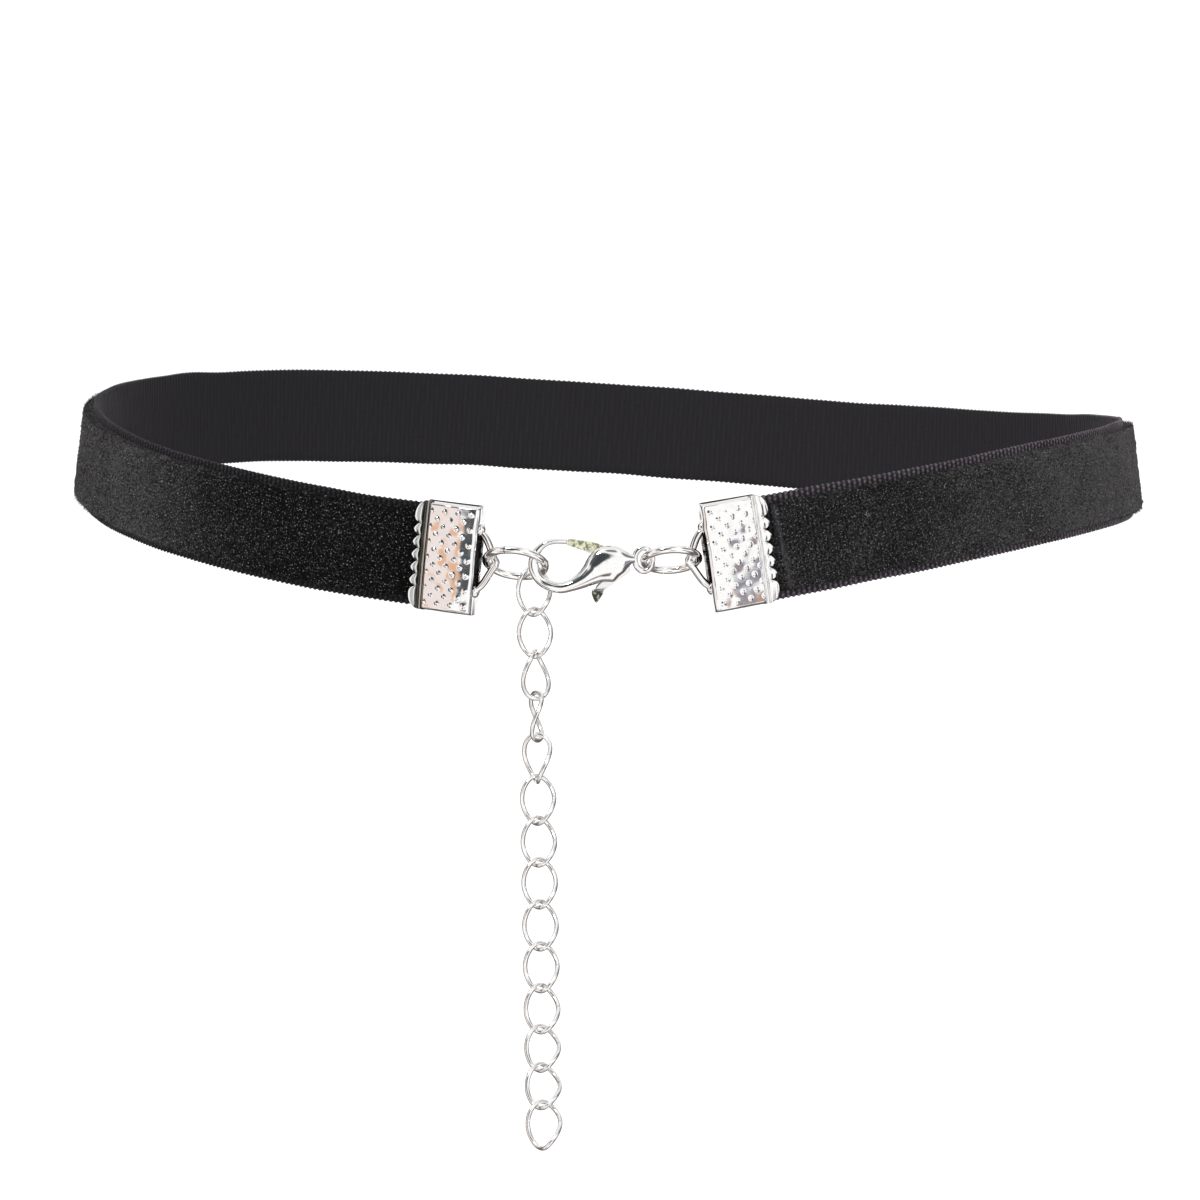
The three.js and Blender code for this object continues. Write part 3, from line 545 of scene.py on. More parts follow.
def ribbonFibres():  # loose pile ends that stand out of the two edges and the face
    free, edges, faceCount = freeLength(), fibres["perEdge"], fibres["onFace"]
    count = 2 * edges + faceCount
    turns = rng.uniform(ribbonFree[0] + 0.004, ribbonFree[1] - 0.004, count)
    places = arcPlaces(turns)[0]
    half = ribbon["pileWidth"] / 2
    side = np.concatenate([np.ones(edges), -np.ones(edges), np.zeros(faceCount)])
    height = pileHeight(places, free)
    onFace = side == 0
    across = np.where(onFace, rng.uniform(-half + 0.2, half - 0.2, count), side * (half - rng.uniform(0.0, 0.1, count)))
    out = ribbon["ground"] / 2 + np.where(onFace, height - 0.08, height * rng.uniform(0.3, 0.95, count))
    centre, along, width, normal = band(turns)
    root = centre + width * across[:, None] + normal * out[:, None]
    lean = rng.normal(size=(count, 2)) * fibres["lean"]
    aim = normal * np.where(onFace, 1, 0.45)[:, None] + width * (side + lean[:, 0] * 0.5)[:, None]
    aim = unit(aim + along * lean[:, 1][:, None])
    tip = root + aim * (rng.uniform(*fibres["length"], count) * np.where(onFace, 0.55, 1.0))[:, None]
    first = unit(np.cross(aim, along + 0.3 * width))
    second = np.cross(aim, first)
    angles = np.arange(3) * turnAround / 3
    cosine, sine = np.cos(angles)[None, :, None], np.sin(angles)[None, :, None]
    base = root[:, None] + fibres["radius"] * (cosine * first[:, None] + sine * second[:, None])
    points = np.concatenate([base, tip[:, None]], axis=1).reshape(-1, 3)
    start = np.arange(count)[:, None] * 4
    corners = np.array([[0, 1, 3], [1, 2, 3], [2, 0, 3], [2, 1, 0]])
    faces = (start[:, :, None] + corners[None]).reshape(-1, 3)
    piece = meshFrom("ribbon_fibres", (points, faces.tolist()))
    carry(piece, np.repeat(np.column_stack([places, across, np.zeros(count)]), 4, axis=0))
    # the loose pile ends get the same painted sheen
    paintedLightAndMarks = np.column_stack([np.zeros(count), paintedSheenAt(places, free), np.zeros(count)])
    carry(piece, np.repeat(paintedLightAndMarks, 4, axis=0), "paintedLightAndMarks")
    dress(piece, velvet)


# Stray threads on the pile: place from the right crimp's mouth or back from the left one, height, size, turns of curl
strayThreads = [
    {"at": 0.9, "across": 3.3, "size": 0.26, "curl": 1.2, "spin": 20},
    {"at": 9.8, "across": 1.7, "size": 0.3, "curl": 0.8, "spin": 100},
    {"at": 18.8, "across": 2.9, "size": 0.28, "curl": 0.7, "spin": 60},
    {"at": 29.2, "across": -3.2, "size": 0.1, "curl": 2.0, "spin": 0},
    {"at": -7.5, "across": 1.2, "size": 0.22, "curl": 0.7, "spin": 140},
    {"at": -12.0, "across": 2.4, "size": 0.24, "curl": 0.5, "spin": 30},
]


def ribbonLint():
    free = freeLength()
    fine = np.linspace(ribbonEnds[0], ribbonEnds[1], 4001)
    places = arcPlaces(fine)[0]
    shells = []
    for thread in strayThreads:
        at = thread["at"] if thread["at"] > 0 else free + thread["at"]
        turn = np.interp(at, places, fine)
        centre, along, width, normal = (row[0] for row in band(np.array([turn])))
        t = np.linspace(0, 1, 26)
        angle = math.radians(thread["spin"]) + t * thread["curl"] * turnAround
        grow = thread["size"] * (0.5 + 0.9 * t)
        height = pileHeight(np.array([at]), free)[0] + ribbon["ground"] / 2 + 0.05 + 0.1 * np.sin(t * 5)
        path = centre + np.outer(grow * np.cos(angle), along) + np.outer(height, normal)
        path = path + np.outer(thread["across"] + grow * np.sin(angle), width)
        shells.append(tube(path, 0.026 * np.sin(np.clip(t, 0.06, 0.94) * math.pi) ** 0.4, 6, towards=normal))
    piece = meshFrom("ribbon_lint", merge(*shells))
    dress(piece, lint)


# The crimps at the ribbon's two ends
crimp = {
    "height": 10.4, "length": 6.5, "sheet": 0.4, "thickness": 3.05, "rounding": 0.45, "play": 0.2,
    "flange": 1.05, "step": 0.25, "lobes": 5, "lobePitch": 1.22, "lobeDepth": 0.6, "cornerCut": 1.0,
    "dimplePitch": 1.4, "dimpleRow": 0.73, "dimpleRadius": 0.28, "dimpleHeight": 0.13, "dimpleMargin": 0.75,
    "windowHeight": 5.4, "bailWire": 0.72, "bailReach": 2.1, "bailLevel": 0.62, "bailNose": 0.8, "wirePlay": 0.18,
    "ribbonGap": 0.85, "seen": 0.3, "crown": 0.36, "crownRun": 2.6, "crownAcross": 0.18, "curl": 0.35, "curlRun": 0.32,
    "buckle": 0.03,
}
backOuter = -(ribbon["ground"] / 2 + crimp["play"] + crimp["sheet"])
teethOuter = ribbon["ground"] / 2 + ribbon["crushed"] + crimp["play"] + crimp["sheet"]
foldOuter = backOuter + crimp["thickness"]
panelEnd = crimp["length"] - crimp["flange"]
panelOuter = teethOuter + crimp["step"]
bailTip = crimp["bailReach"] - crimp["bailWire"] / 2


def crimpFrame(side, away):
    centre, along, _, normal = (row[0] for row in band(np.array([side * away])))
    x = along * side
    matrix = np.eye(4)
    matrix[:3, 0], matrix[:3, 1], matrix[:3, 2] = x, normal, np.cross(x, normal)
    matrix[:3, 3] = centre - x * crimp["length"] / 2
    return matrix


# Painted shade and painted reflections in the groove: where each band starts and stops from the panel's end, and its
# colour
grooveShadeBands = [
    {"start": -0.42, "stop": -0.3, "colour": (0.06, 0.035, 0.025)},
    {"start": -0.26, "stop": -0.05, "colour": (0.45, 0.46, 0.41)},
    {"start": 0.0, "stop": 0.6, "colour": (0.07, 0.075, 0.07)},
]


def paintGrooveShade(paint, colour):  # painted shade and painted reflections in the groove and on the lobes, as much as the crimp is given
    along, rim, _ = paint.parts(paint.place())
    amount, _, _ = paint.parts(paint.place("paintedLightAndMarks"))
    for paintedShade in grooveShadeBands:
        start, stop, tone = panelEnd + paintedShade["start"], panelEnd + paintedShade["stop"], paintedShade["colour"]
        inside = paint.ease(along, start - 0.05, start + 0.03)
        inside = inside * (1.0 - paint.ease(along, stop - 0.03, stop + 0.05))
        colour = paint.blend(inside * amount * (1.0 - paint.ease(rim, 0.26, 0.36)), colour, tone)
    # painted reflection: grey lobes inside their bright rims
    inside = paint.ease(rim, 0.36, 0.46) * (1.0 - paint.ease(rim, 0.78, 0.9))
    return paint.blend(inside * amount * 0.8, colour, (0.33, 0.34, 0.32))


# Smooth and rough are the gloss of clean and of worn plating, dent and waves the depth and scale of its waviness
def platedFinish(name, tint, smooth, rough, dent, waves, shadedGroove=False):
    material, paint = newFinish(name)
    where = paint.add("ShaderNodeTexCoord", output="Object")
    smear = paint.noise(where, 900.0, 3, 0.6)
    speck = paint.noise(where, 5200.0, 2, 0.5)
    scratch = paint.noise(where * (900.0, 900.0, 14000.0), 1.0, 1, 0.5)
    wearAndPaintedHighlight = paint.ease(smear * 0.7 + scratch * 0.3, 0.42, 0.68)
    colour = paint.blend(paint.ease(speck, 0.55, 0.72) * 0.35 + wearAndPaintedHighlight * 0.2, tint, tuple(0.78 * part for part in tint))
    # painted shade and painted reflections in the crimp's groove
    if shadedGroove:
        colour = paintGrooveShade(paint, colour)
    wave = paint.noise(where, waves, 2, 0.5)
    bump = paint.add("ShaderNodeBump", {}, {"Strength": dent, "Distance": 0.0002, "Height": wave + scratch * 0.03})
    paint.surface({
        "Base Color": colour, "Metallic": 1.0, "Roughness": wearAndPaintedHighlight * (rough - smooth) + smooth, "Normal": bump,
    })
    return material


def panelFace(x):
    sunk = crimp["crown"] * max(0, 1 - x / crimp["crownRun"]) ** 2
    return foldOuter + (panelOuter - foldOuter) * (x - crimp["rounding"]) / (panelEnd - crimp["rounding"]) - sunk


def lobeEdge(z):  # how far the scalloped edge reaches at a height across the ribbon
    pitch, outer = crimp["lobePitch"], crimp["lobes"] * crimp["lobePitch"] / 2
    within = (z / pitch + 0.5 * (crimp["lobes"] % 2)) % 1.0
    off = np.abs(2 * within - 1)
    scallop = crimp["lobeDepth"] * ((1 - np.sqrt(1 - off ** 2)) * 0.5 + off ** 1.3 * 0.5)
    beyond = np.clip(np.abs(z) - outer, 0, None)
    crest = 0.62
    rising = crimp["lobeDepth"] * (1 - np.sqrt(np.clip(1 - (1 - beyond / crest) ** 2, 0, 1)))
    fall = (beyond - crest) / (crimp["height"] / 2 - outer - crest)
    falling = crimp["cornerCut"] * (1 - np.sqrt(np.clip(1 - np.clip(fall, 0, 1) ** 2.2, 0, 1)))
    corner = np.where(beyond < crest, rising, falling)
    return crimp["length"] - np.where(np.abs(z) <= outer, scallop, corner)


# The groove and lip beyond the panel: distance from the panel's end and drop below it
lipBend = [
    (-1.0, 0), (-0.48, 0), (-0.4, -0.05), (-0.35, -0.26), (-0.28, -0.28), (-0.2, -0.1), (-0.1, -0.05),
    (-0.01, -0.12), (0.07, -0.29), (0.14, -0.34), (0.22, -0.35), (0.5, -0.35), (0.58, -0.31), (0.7, -0.26),
    (crimp["flange"], -0.23),
]


def crimpPath():  # the sheet's outer face from the back's edge round the fold to the lip in front
    r, length = crimp["rounding"], crimp["length"]
    turns = np.linspace(0, math.pi / 2, 7)
    points = [(length, backOuter + 0.06), (length - 0.5, backOuter), (r, backOuter)]
    points += [(r - r * math.sin(a), backOuter + r - r * math.cos(a)) for a in turns[1:]]
    points += [(r - r * math.cos(a), panelFace(r) - r + r * math.sin(a)) for a in turns]
    points += [(x, panelFace(x)) for x in np.linspace(r + 0.1, panelEnd - 1.1, 30)]
    points += [(panelEnd + x, panelFace(min(panelEnd + x, panelEnd)) + drop) for x, drop in lipBend]
    points = np.array(points)
    run = np.concatenate([[0], np.cumsum(np.linalg.norm(np.diff(points, axis=0), axis=1))])
    wanted = np.linspace(0, run[-1], int(run[-1] / 0.08) + 1)
    return np.column_stack([np.interp(wanted, run, points[:, k]) for k in (0, 1)])


def crimpSheet():
    path = crimpPath()
    tangent = unit(np.gradient(path, axis=0))
    normal = np.column_stack([-tangent[:, 1], tangent[:, 0]])
    outer = crimp["lobes"] * crimp["lobePitch"] / 2
    middle = np.linspace(-outer, outer, crimp["lobes"] * 16 + 1)
    end = np.linspace(outer, crimp["height"] / 2, 28)[1:]
    z = np.concatenate([-end[::-1], middle, end])
    x = np.broadcast_to(path[:, :1], (len(path), len(z))).copy()
    y = np.broadcast_to(path[:, 1:], x.shape).copy()
    start = panelEnd + 0.3  # where the scallops begin
    stretch = (lobeEdge(z)[None, :] - start) / (crimp["length"] - start)
    share = np.clip((x - start) / (crimp["length"] - start), 0, 1)
    x = np.where(x > start, start + (x - start) * stretch, x)
    rim = np.clip((x - start) / (crimp["length"] - start), 0, 1)
    front = (np.arange(len(path)) > len(path) / 2)[:, None]
    y = y + np.where(front, 0.07, -0.03) * np.clip(rim * 4 - 3, 0, 1)
    over = np.clip((np.abs(z) - crimp["height"] / 2 + crimp["curlRun"]) / crimp["curlRun"], 0, 1)[None, :]
    y = y - np.where(front & (x < panelEnd - 0.4), crimp["curl"], 0) * over ** 2
    y = y - np.where(front, crimp["crownAcross"] * (z[None, :] / crimp["height"] * 2) ** 2, 0) * (1 - rim)
    dent = np.zeros_like(x)
    rows = int((crimp["height"] - crimp["dimpleMargin"] * 2) / crimp["dimpleRow"])
    for row in range(rows + 1):
        at = (row - rows / 2) * crimp["dimpleRow"]
        spot = crimp["dimpleMargin"] + (row % 2) * crimp["dimplePitch"] / 2
        while spot <= panelEnd - crimp["dimpleRadius"]:
            far = np.hypot(x - spot, z[None, :] - at) / crimp["dimpleRadius"]
            dent += np.clip(1 - far, 0, 1) ** 1.2 * crimp["dimpleHeight"] * (1 + 0.15 * rng.normal())
            spot += crimp["dimplePitch"]
    buckle = crimp["buckle"] * patches(x.shape, (14, 16)) * np.clip(4 * (crimp["length"] - x) / crimp["length"], 0, 1)
    dent = np.where(np.abs(normal[:, 1:]) > 0.9, dent, 0) + buckle
    outerX, outerY = x + normal[:, :1] * dent, y + normal[:, 1:] * dent
    innerX, innerY = x - normal[:, :1] * crimp["seen"], y - normal[:, 1:] * crimp["seen"]
    outerRows = np.stack([outerX, outerY, np.broadcast_to(z, x.shape)], axis=-1)
    innerRows = np.stack([innerX, innerY, np.broadcast_to(z, x.shape)], axis=-1)
    points = np.concatenate([outerRows.reshape(-1, 3), innerRows.reshape(-1, 3)])
    index = np.arange(x.size).reshape(x.shape)
    inside = x.size
    middleY = (path[:-1, 1] + path[1:, 1]) / 2
    onFold = (path[:-1, 0] < 0.05) & (middleY > backOuter + crimp["sheet"]) & (middleY < foldOuter - crimp["sheet"])
    middleZ = np.abs(z[:-1] + z[1:]) / 2
    kept = ~(onFold[:, None] & (middleZ < crimp["windowHeight"] / 2)[None, :])
    a, b, c, d = index[:-1, :-1][kept], index[1:, :-1][kept], index[1:, 1:][kept], index[:-1, 1:][kept]
    faces = [np.column_stack([a, b, c, d]), np.column_stack([d, c, b, a]) + inside]
    padded = np.pad(kept, 1)
    # walls between the two faces of the sheet wherever a kept cell has no neighbour
    for neighbour, first, last in (
            (padded[:-2, 1:-1], index[:-1, 1:], index[:-1, :-1]), (padded[2:, 1:-1], index[1:, :-1], index[1:, 1:]),
            (padded[1:-1, :-2], index[:-1, :-1], index[1:, :-1]), (padded[1:-1, 2:], index[1:, 1:], index[:-1, 1:])):
        begin, stop = first[kept & ~neighbour], last[kept & ~neighbour]
        faces.append(np.column_stack([stop, begin, begin + inside, stop + inside]))
    lay = np.stack([x, np.where(front, share, 0.0), y], axis=-1).reshape(-1, 3)
    return (points, np.concatenate(faces).tolist()), np.concatenate([lay, lay])


def crimpBail():
    root = crimp["windowHeight"] / 2 + crimp["bailWire"] / 3
    nose = crimp["bailNose"]
    upper = [(crimp["sheet"] * 0.6, root), (-bailTip * 0.35, root * 0.72), (-bailTip + nose * 0.4, nose * 0.75)]
    path = curveThrough(upper + [(-bailTip, 0)] + [(x, -z) for x, z in upper[::-1]], 72)
    path = np.column_stack([path[:, 0], np.full(len(path), crimp["bailLevel"]), path[:, 1]])
    return tube(path, crimp["bailWire"] / 2, 16, towards=(0, 1, 0))


def solderBead(x, z):  # where the wire loop is soldered into the fold
    theta, phi = np.linspace(0.12, math.pi - 0.12, 12), np.arange(18) * turnAround / 18
    sides = [np.outer(np.sin(theta), turn(phi)) for turn in (np.cos, np.sin)]
    rows = np.stack([np.outer(np.cos(theta), np.ones(18)), *sides], axis=-1) * (0.5, 0.5, 0.62)
    return loft(rows + (x, crimp["bailLevel"], z))


def makeCrimp(name, matrix, paintedShade):
    root = crimp["windowHeight"] / 2 + crimp["bailWire"] / 3
    sheet, lay = crimpSheet()
    shell = merge(sheet, crimpBail(), solderBead(0.1, root), solderBead(0.1, -root))
    piece = meshFrom(name, moved(shell, matrix))
    rest = np.zeros((len(shell[0]) - len(lay), 3))
    carry(piece, np.concatenate([lay, rest]))
    # how much painted shade and painted reflection the groove gets
    carry(piece, np.full((len(shell[0]), 3), paintedShade), "paintedLightAndMarks")
    crisp(piece, 50)
    dress(piece, sheetPlating, nodes=[name.replace("_end", "")])


# The rings beside the clasp
ring = {
    "leftLength": 6.5, "rightLength": 6.0, "width": 5.8, "wire": 0.78, "leftTilt": 56, "rightTilt": 63,
    "steps": 120, "sides": 20,
}
ringInBail = bailTip - crimp["bailWire"] / 2 - ring["wire"] / 2 - crimp["wirePlay"]


def ringEnd(matrix):
    return matrix[:3, :3] @ (-ringInBail, crimp["bailLevel"], 0) + matrix[:3, 3]


def seatCrimp(side, anchor, length):
    near, far = 0.0, math.pi / 2
    for _ in range(40):
        middle = (near + far) / 2
        short = np.linalg.norm(ringEnd(crimpFrame(side, middle)) - anchor) < length - ring["wire"]
        near, far = (middle, far) if short else (near, middle)
    return near, crimpFrame(side, near)


def ringFrame(start, end, tilt):
    x = unit(end - start)
    upright = unit(np.array([0, 0, 1]) - x * x[2])
    z = upright * math.cos(tilt) + np.cross(x, upright) * math.sin(tilt)
    matrix = np.eye(4)
    matrix[:3, 0], matrix[:3, 1], matrix[:3, 2], matrix[:3, 3] = x, np.cross(z, x), z, (start + end) / 2
    return matrix


def ovalPoint(length, width, wire, t):
    return np.column_stack([(length - wire) / 2 * np.cos(t), np.zeros(len(t)), (width - wire) / 2 * np.sin(t)])


seamGap = 0.012  # where a wire's ends meet, as an angle


def makeRing(name, matrix, length, seam):
    t = math.radians(seam) + np.linspace(seamGap, turnAround - seamGap, ring["steps"])
    shell = tube(ovalPoint(length, ring["width"], ring["wire"], t), ring["wire"] / 2, ring["sides"])
    piece = meshFrom(name, moved(shell, matrix))
    crisp(piece, 60)
    dress(piece, wirePlating, nodes=[name.replace("_oval", "")])


# The extender chain
chain = {
    "count": 14, "length": 5.05, "width": 3.5, "wire": 0.45, "slack": 0.15, "twist": 38, "drift": 1.2, "start": -63,
    "steps": 96, "sides": 14,
    "turns": [0, 4, 46, 92, 137, 174, 183, 177, 183, 178, 184, 177, 182, 172],
    "leans": [14, 9, 10, 12, 16, 16, 16, 15, 16, 18, 24, 35, 38, 30],
}


def linkPath(t):
    x = (chain["width"] - chain["wire"]) / 2 * np.cos(t)
    z = (chain["length"] - chain["wire"]) / 2 * np.sin(t)
    twist = math.radians(chain["twist"]) * np.sin(t)
    return np.column_stack([x * np.cos(twist), x * np.sin(twist), z])


def linkAim(number):  # which way a link hangs
    lean, drift = (math.radians(angle) for angle in (chain["leans"][number % chain["count"]], chain["drift"]))
    return Vector((math.sin(drift), -math.sin(lean), -math.cos(lean))).normalized()


def chainFrames(hang):
    pitch = chain["length"] - 2 * chain["wire"] - chain["slack"]
    drop = linkAim(0)
    place = Vector(hang) + drop * (chain["length"] / 2 - chain["wire"] - ring["wire"] / 2 - crimp["wirePlay"])
    frames = []
    for number, turn in enumerate(chain["turns"]):
        tip = Vector((0, 0, 1)).rotation_difference(-drop)
        turned = tip.to_matrix() @ Matrix.Rotation(math.radians(turn), 3, "Z")
        frames.append(Matrix.Translation(place) @ turned.to_4x4())
        following = linkAim(number + 1)
        place = place + drop * pitch / 2 + following * pitch / 2
        drop = following
    return frames


def makeChain():
    start = np.array([math.radians(chain["start"])])
    hang = ovalPoint(ring["leftLength"], ring["width"], ring["wire"], start)[0]
    hang = leftRing[:3, :3] @ hang + leftRing[:3, 3]
    for number, matrix in enumerate(chainFrames(hang), start=1):
        t = math.radians(178 + 5 * rng.normal()) + np.linspace(seamGap, turnAround - seamGap, chain["steps"])
        link = meshFrom(f"link_{number:02d}", moved(tube(linkPath(t), chain["wire"] / 2, chain["sides"]), matrix))
        crisp(link, 60)
        dress(link, chainPlating, nodes=[f"chain_link_{number:02d}"])


# The clasp and its lever
clasp = {
    "length": 12.1, "width": 3.75, "depth": 2.4, "offCentre": -7.64, "standoff": 0.95, "rise": 1.05, "slope": 2,
    "pivot": (0.732, -0.012), "eye": (0.91, -0.004), "eyeBar": 0.58, "eyeWidth": 2.25, "eyeHeight": 2.75,
    "leverThickness": 0.8, "leverPlay": 0.13, "hub": 0.92, "pin": 0.35, "pinPlay": 0.06, "knobThickness": 1.5,
    "hookPlay": 0.2, "slotReach": 0.33, "gateSlot": (122, 180), "thumbSlot": (201, 350),
}
# Sections of the casting from the nose of the hook to the shank of the eye:
# along and rise in shares of its length, width of its width, depth of its depth
bodySections = [
    (0.299, 0.161, 0.14, 0.38), (0.228, 0.165, 0.145, 0.42), (0.157, 0.155, 0.16, 0.45), (0.102, 0.118, 0.185, 0.42),
    (0.061, 0.063, 0.235, 0.42), (0.044, -0.008, 0.275, 0.42), (0.059, -0.079, 0.27, 0.44),
    (0.102, -0.142, 0.275, 0.48), (0.169, -0.183, 0.29, 0.58), (0.252, -0.201, 0.3, 0.63),
    (0.339, -0.183, 0.33, 0.71), (0.417, -0.15, 0.43, 0.81),
    (0.488, -0.106, 0.61, 0.92), (0.551, -0.063, 0.86, 1), (0.614, -0.031, 1, 1), (0.677, -0.012, 0.88, 0.97),
    (0.74, -0.004, 0.68, 0.87), (0.795, 0, 0.38, 0.64), (0.84, 0, 0.2, 0.4),
]
leverOutline = [
    (0.7, 0.045), (0.567, 0.142), (0.345, 0.177), (0.323, 0.181), (0.317, 0.165), (0.31, 0.147), (0.308, 0.135),
    (0.33, 0.128), (0.48, 0.071), (0.661, -0.035), (0.614, -0.122),
    (0.551, -0.173), (0.512, -0.222), (0.578, -0.24), (0.6, -0.22), (0.784, -0.105), (0.8, -0.08), (0.803, -0.012),
    (0.783, 0.035),
]
knobOutline = [(0.486, -0.222), (0.502, -0.29), (0.526, -0.335), (0.56, -0.29), (0.592, -0.24), (0.575, -0.216)]
claspPlace = (clasp["offCentre"], -(loop["halfDepth"] + clasp["standoff"]), clasp["rise"] - loop["drop"])
claspFrame = Matrix.Translation(claspPlace) @ Matrix.Rotation(-math.radians(clasp["slope"]), 4, "Y")


def onClasp(share):
    return np.array([share[0] * clasp["length"], 0, share[1] * clasp["length"]])


def gateFinish():
    material, paint = newFinish("gate_plating")
    where = paint.add("ShaderNodeTexCoord", output="Object")
    along, _, rise = paint.parts(paint.place())
    # the arm of the gate is worn to a greenish tone, the thumb end stays bright
    onGate = paint.ease(rise, 0.06, 0.1) * (1.0 - paint.ease(along, 0.6, 0.64))
    blotch = paint.noise(where, 2300.0, 3, 0.65)
    green = paint.blend(paint.ease(blotch, 0.4, 0.58), (0.19, 0.2, 0.12), (0.72, 0.72, 0.52))
    colour = paint.blend(onGate, (0.8, 0.79, 0.77), green)
    # the knob's colour: dark, with pale blotches that are painted highlights
    wearAndPaintedHighlight = paint.blend(paint.ease(blotch, 0.47, 0.6), (0.05, 0.055, 0.04), (0.42, 0.42, 0.38))
    colour = paint.blend(1.0 - paint.ease(rise, -0.24, -0.2), colour, wearAndPaintedHighlight)
    bump = paint.add("ShaderNodeBump", {}, {"Strength": 0.5, "Distance": 0.00012, "Height": blotch * onGate})
    paint.surface({
        "Base Color": colour, "Metallic": 1.0 - onGate * 0.75, "Roughness": onGate * 0.36 + 0.1, "Normal": bump,
    })
    return material


def disc(name, radius, thickness, steps=40):  # a round plate about the pivot
    angles = np.arange(steps) * turnAround / steps
    x, _, z = onClasp(clasp["pivot"])
    return plate(name, np.column_stack([x + radius * np.cos(angles), z + radius * np.sin(angles)]), thickness)


def claspBody():
    sections = curveThrough(bodySections, 110)
    centres = sections[:, :2] * clasp["length"]
    centres = np.column_stack([centres[:, 0], np.zeros(len(sections)), centres[:, 1]])
    ahead = unit(np.gradient(centres, axis=0))
    outward = np.cross(ahead, (0, 1, 0))
    angles = np.arange(40) * turnAround / 40
    # a little squarer than an oval
    across, deep = (np.sign(share) * np.abs(share) ** 0.86 for share in (np.cos(angles), np.sin(angles)))
    across = across[None, :] * (sections[:, 2:3] * clasp["width"] / 2)
    deep = deep[None, :] * (sections[:, 3:4] * clasp["depth"] / 2)
    rows = centres[:, None] + across[..., None] * outward[:, None] + deep[..., None] * np.array([0, 1, 0])
    # the nose of the hook is rounded off
    tip = rows[0].mean(axis=0)
    nose = [tip + (rows[0] - tip) * share - ahead[0] * 0.3 * math.sqrt(1 - share ** 2) for share in (0.3, 0.65, 0.88)]
    casting = meshFrom("clasp_casting", loft(np.concatenate([np.array(nose), rows])))

    pivot = onClasp(clasp["pivot"])
    width = clasp["leverThickness"] + clasp["leverPlay"] * 2
    reach = clasp["slotReach"] * clasp["length"]
    below = clasp["hub"] * 0.8 + clasp["leverPlay"]

    def fan(ends, drop):
        x, _, z = pivot
        points = [(x, z)]
        points += [(x + reach * math.cos(a), z + reach * math.sin(a)) for a in np.radians(np.linspace(*ends, 13))]
        if drop:
            points += [(points[-1][0], points[-1][1] - drop), (x, z - drop)]
        return plate("slot", np.array(points), width)

    cut(casting, fan(clasp["gateSlot"], below))
    cut(casting, fan(clasp["thumbSlot"], 0))
    cut(casting, disc("hollow", clasp["hub"] + clasp["leverPlay"], width))
    t = np.arange(64) * turnAround / 64
    eye = ovalPoint(clasp["eyeWidth"], clasp["eyeHeight"], clasp["eyeBar"], t) + onClasp(clasp["eye"])
    cut(casting, meshFrom("eye", tube(eye, clasp["eyeBar"] / 2, 18, ring=True)), "UNION")
    cut(casting, disc("pin", clasp["pin"], clasp["depth"] * 0.9, 24), "UNION")
    casting.data.transform(inMetres(claspFrame))
    shadeSmooth(casting, 38)
    dress(casting, castPlating, nodes=["clasp_body"])


def claspLever():
    arm = plate("clasp_gate", rounded(np.array(leverOutline) * clasp["length"]), clasp["leverThickness"])
    bevelled(arm, 0.14, 3)
    knob = plate("knob", rounded(np.array(knobOutline) * clasp["length"]), clasp["knobThickness"])
    bevelled(knob, 0.3, 4)
    cut(arm, knob, "UNION")
    cut(arm, disc("hub", clasp["hub"], clasp["leverThickness"]), "UNION")
    cut(arm, disc("bore", clasp["pin"] + clasp["pinPlay"], clasp["leverThickness"] * 2))
    shares = np.empty(len(arm.data.vertices) * 3, np.float32)
    arm.data.vertices.foreach_get("co", shares)
    carry(arm, shares / (clasp["length"] * mm))
    arm.data.transform(inMetres(claspFrame))
    shadeSmooth(arm, 35)
    dress(arm, gate, body="lever", nodes=["clasp_lever"])


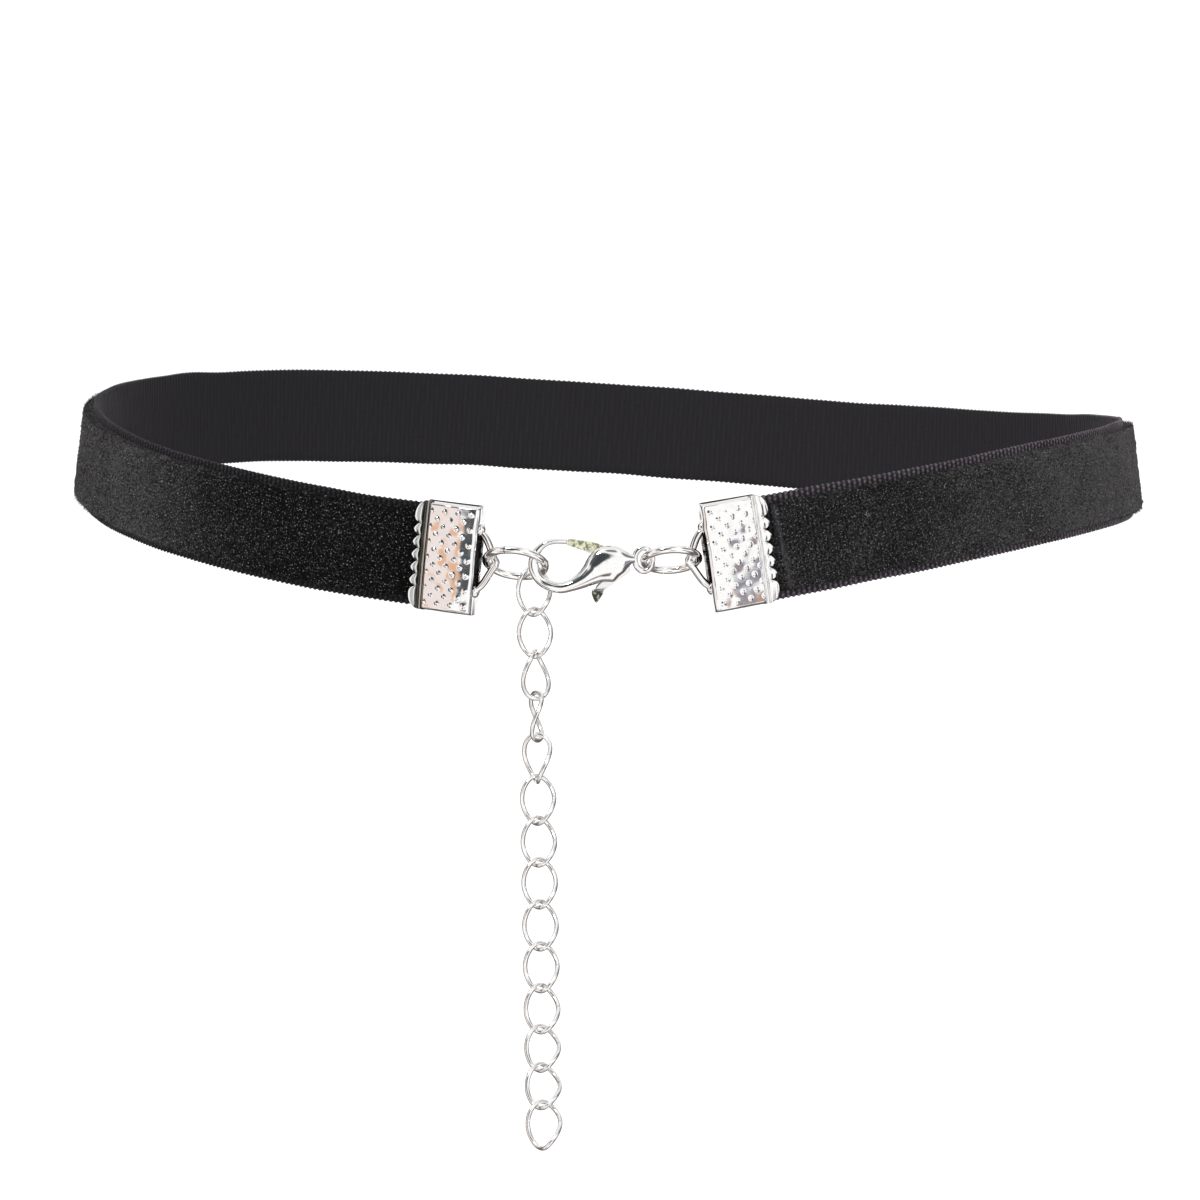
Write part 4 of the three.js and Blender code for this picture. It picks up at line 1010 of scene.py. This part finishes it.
# Where the pieces meet: the clasp seats the rings, these seat the crimps, and the crimps end the ribbon
hookBar = bodySections[5]
leftAnchor = np.array(claspFrame @ Vector(onClasp(hookBar)))
leftAnchor = leftAnchor + (hookBar[2] * clasp["width"] / 2 + ring["wire"] / 2 + clasp["hookPlay"], 0, 0)
rightAnchor = np.array(claspFrame @ Vector(onClasp(clasp["eye"])))
leftAway, leftFrame = seatCrimp(-1, leftAnchor, ring["leftLength"])
rightAway, rightFrame = seatCrimp(1, rightAnchor, ring["rightLength"])
leftRing = ringFrame(ringEnd(leftFrame), leftAnchor, math.radians(ring["leftTilt"]))
rightRing = ringFrame(rightAnchor, ringEnd(rightFrame), math.radians(ring["rightTilt"]))
perRadian = math.hypot(loop["halfWidth"], climbRate)
inCrimp = (crimp["length"] / 2 - crimp["ribbonGap"]) / perRadian
mouth = crimp["length"] / 2 / perRadian
ribbonEnds = (rightAway - inCrimp, turnAround - leftAway + inCrimp)
ribbonFree = (rightAway + mouth, turnAround - leftAway - mouth)

velvet, woven, lint = velvetFinish(), groundFinish(), lintFinish()
sheetPlating = platedFinish("sheet_plating", (0.9, 0.89, 0.885), 0.07, 0.2, 0.22, 420.0, shadedGroove=True)
wirePlating = platedFinish("wire_plating", (0.93, 0.92, 0.91), 0.05, 0.16, 0.08, 700.0)
chainPlating = platedFinish("chain_plating", (0.96, 0.95, 0.94), 0.18, 0.34, 0.05, 700.0)
castPlating = platedFinish("cast_plating", (0.89, 0.885, 0.88), 0.04, 0.14, 0.1, 380.0)
gate = gateFinish()
print("finishes ready")

ribbonPile()
ribbonGround()
ribbonFibres()
ribbonLint()
print("ribbon ready")

# only the left crimp gets the painted shade and painted reflections in its groove
makeCrimp("crimp_left_end", leftFrame, 1.0)
makeCrimp("crimp_right_end", rightFrame, 0.0)
print("crimps ready")

makeRing("ring_left_oval", leftRing, ring["leftLength"], 100)
makeRing("ring_right_oval", rightRing, ring["rightLength"], 262)
makeChain()
print("rings and chain ready")

claspBody()
claspLever()
print("clasp ready")
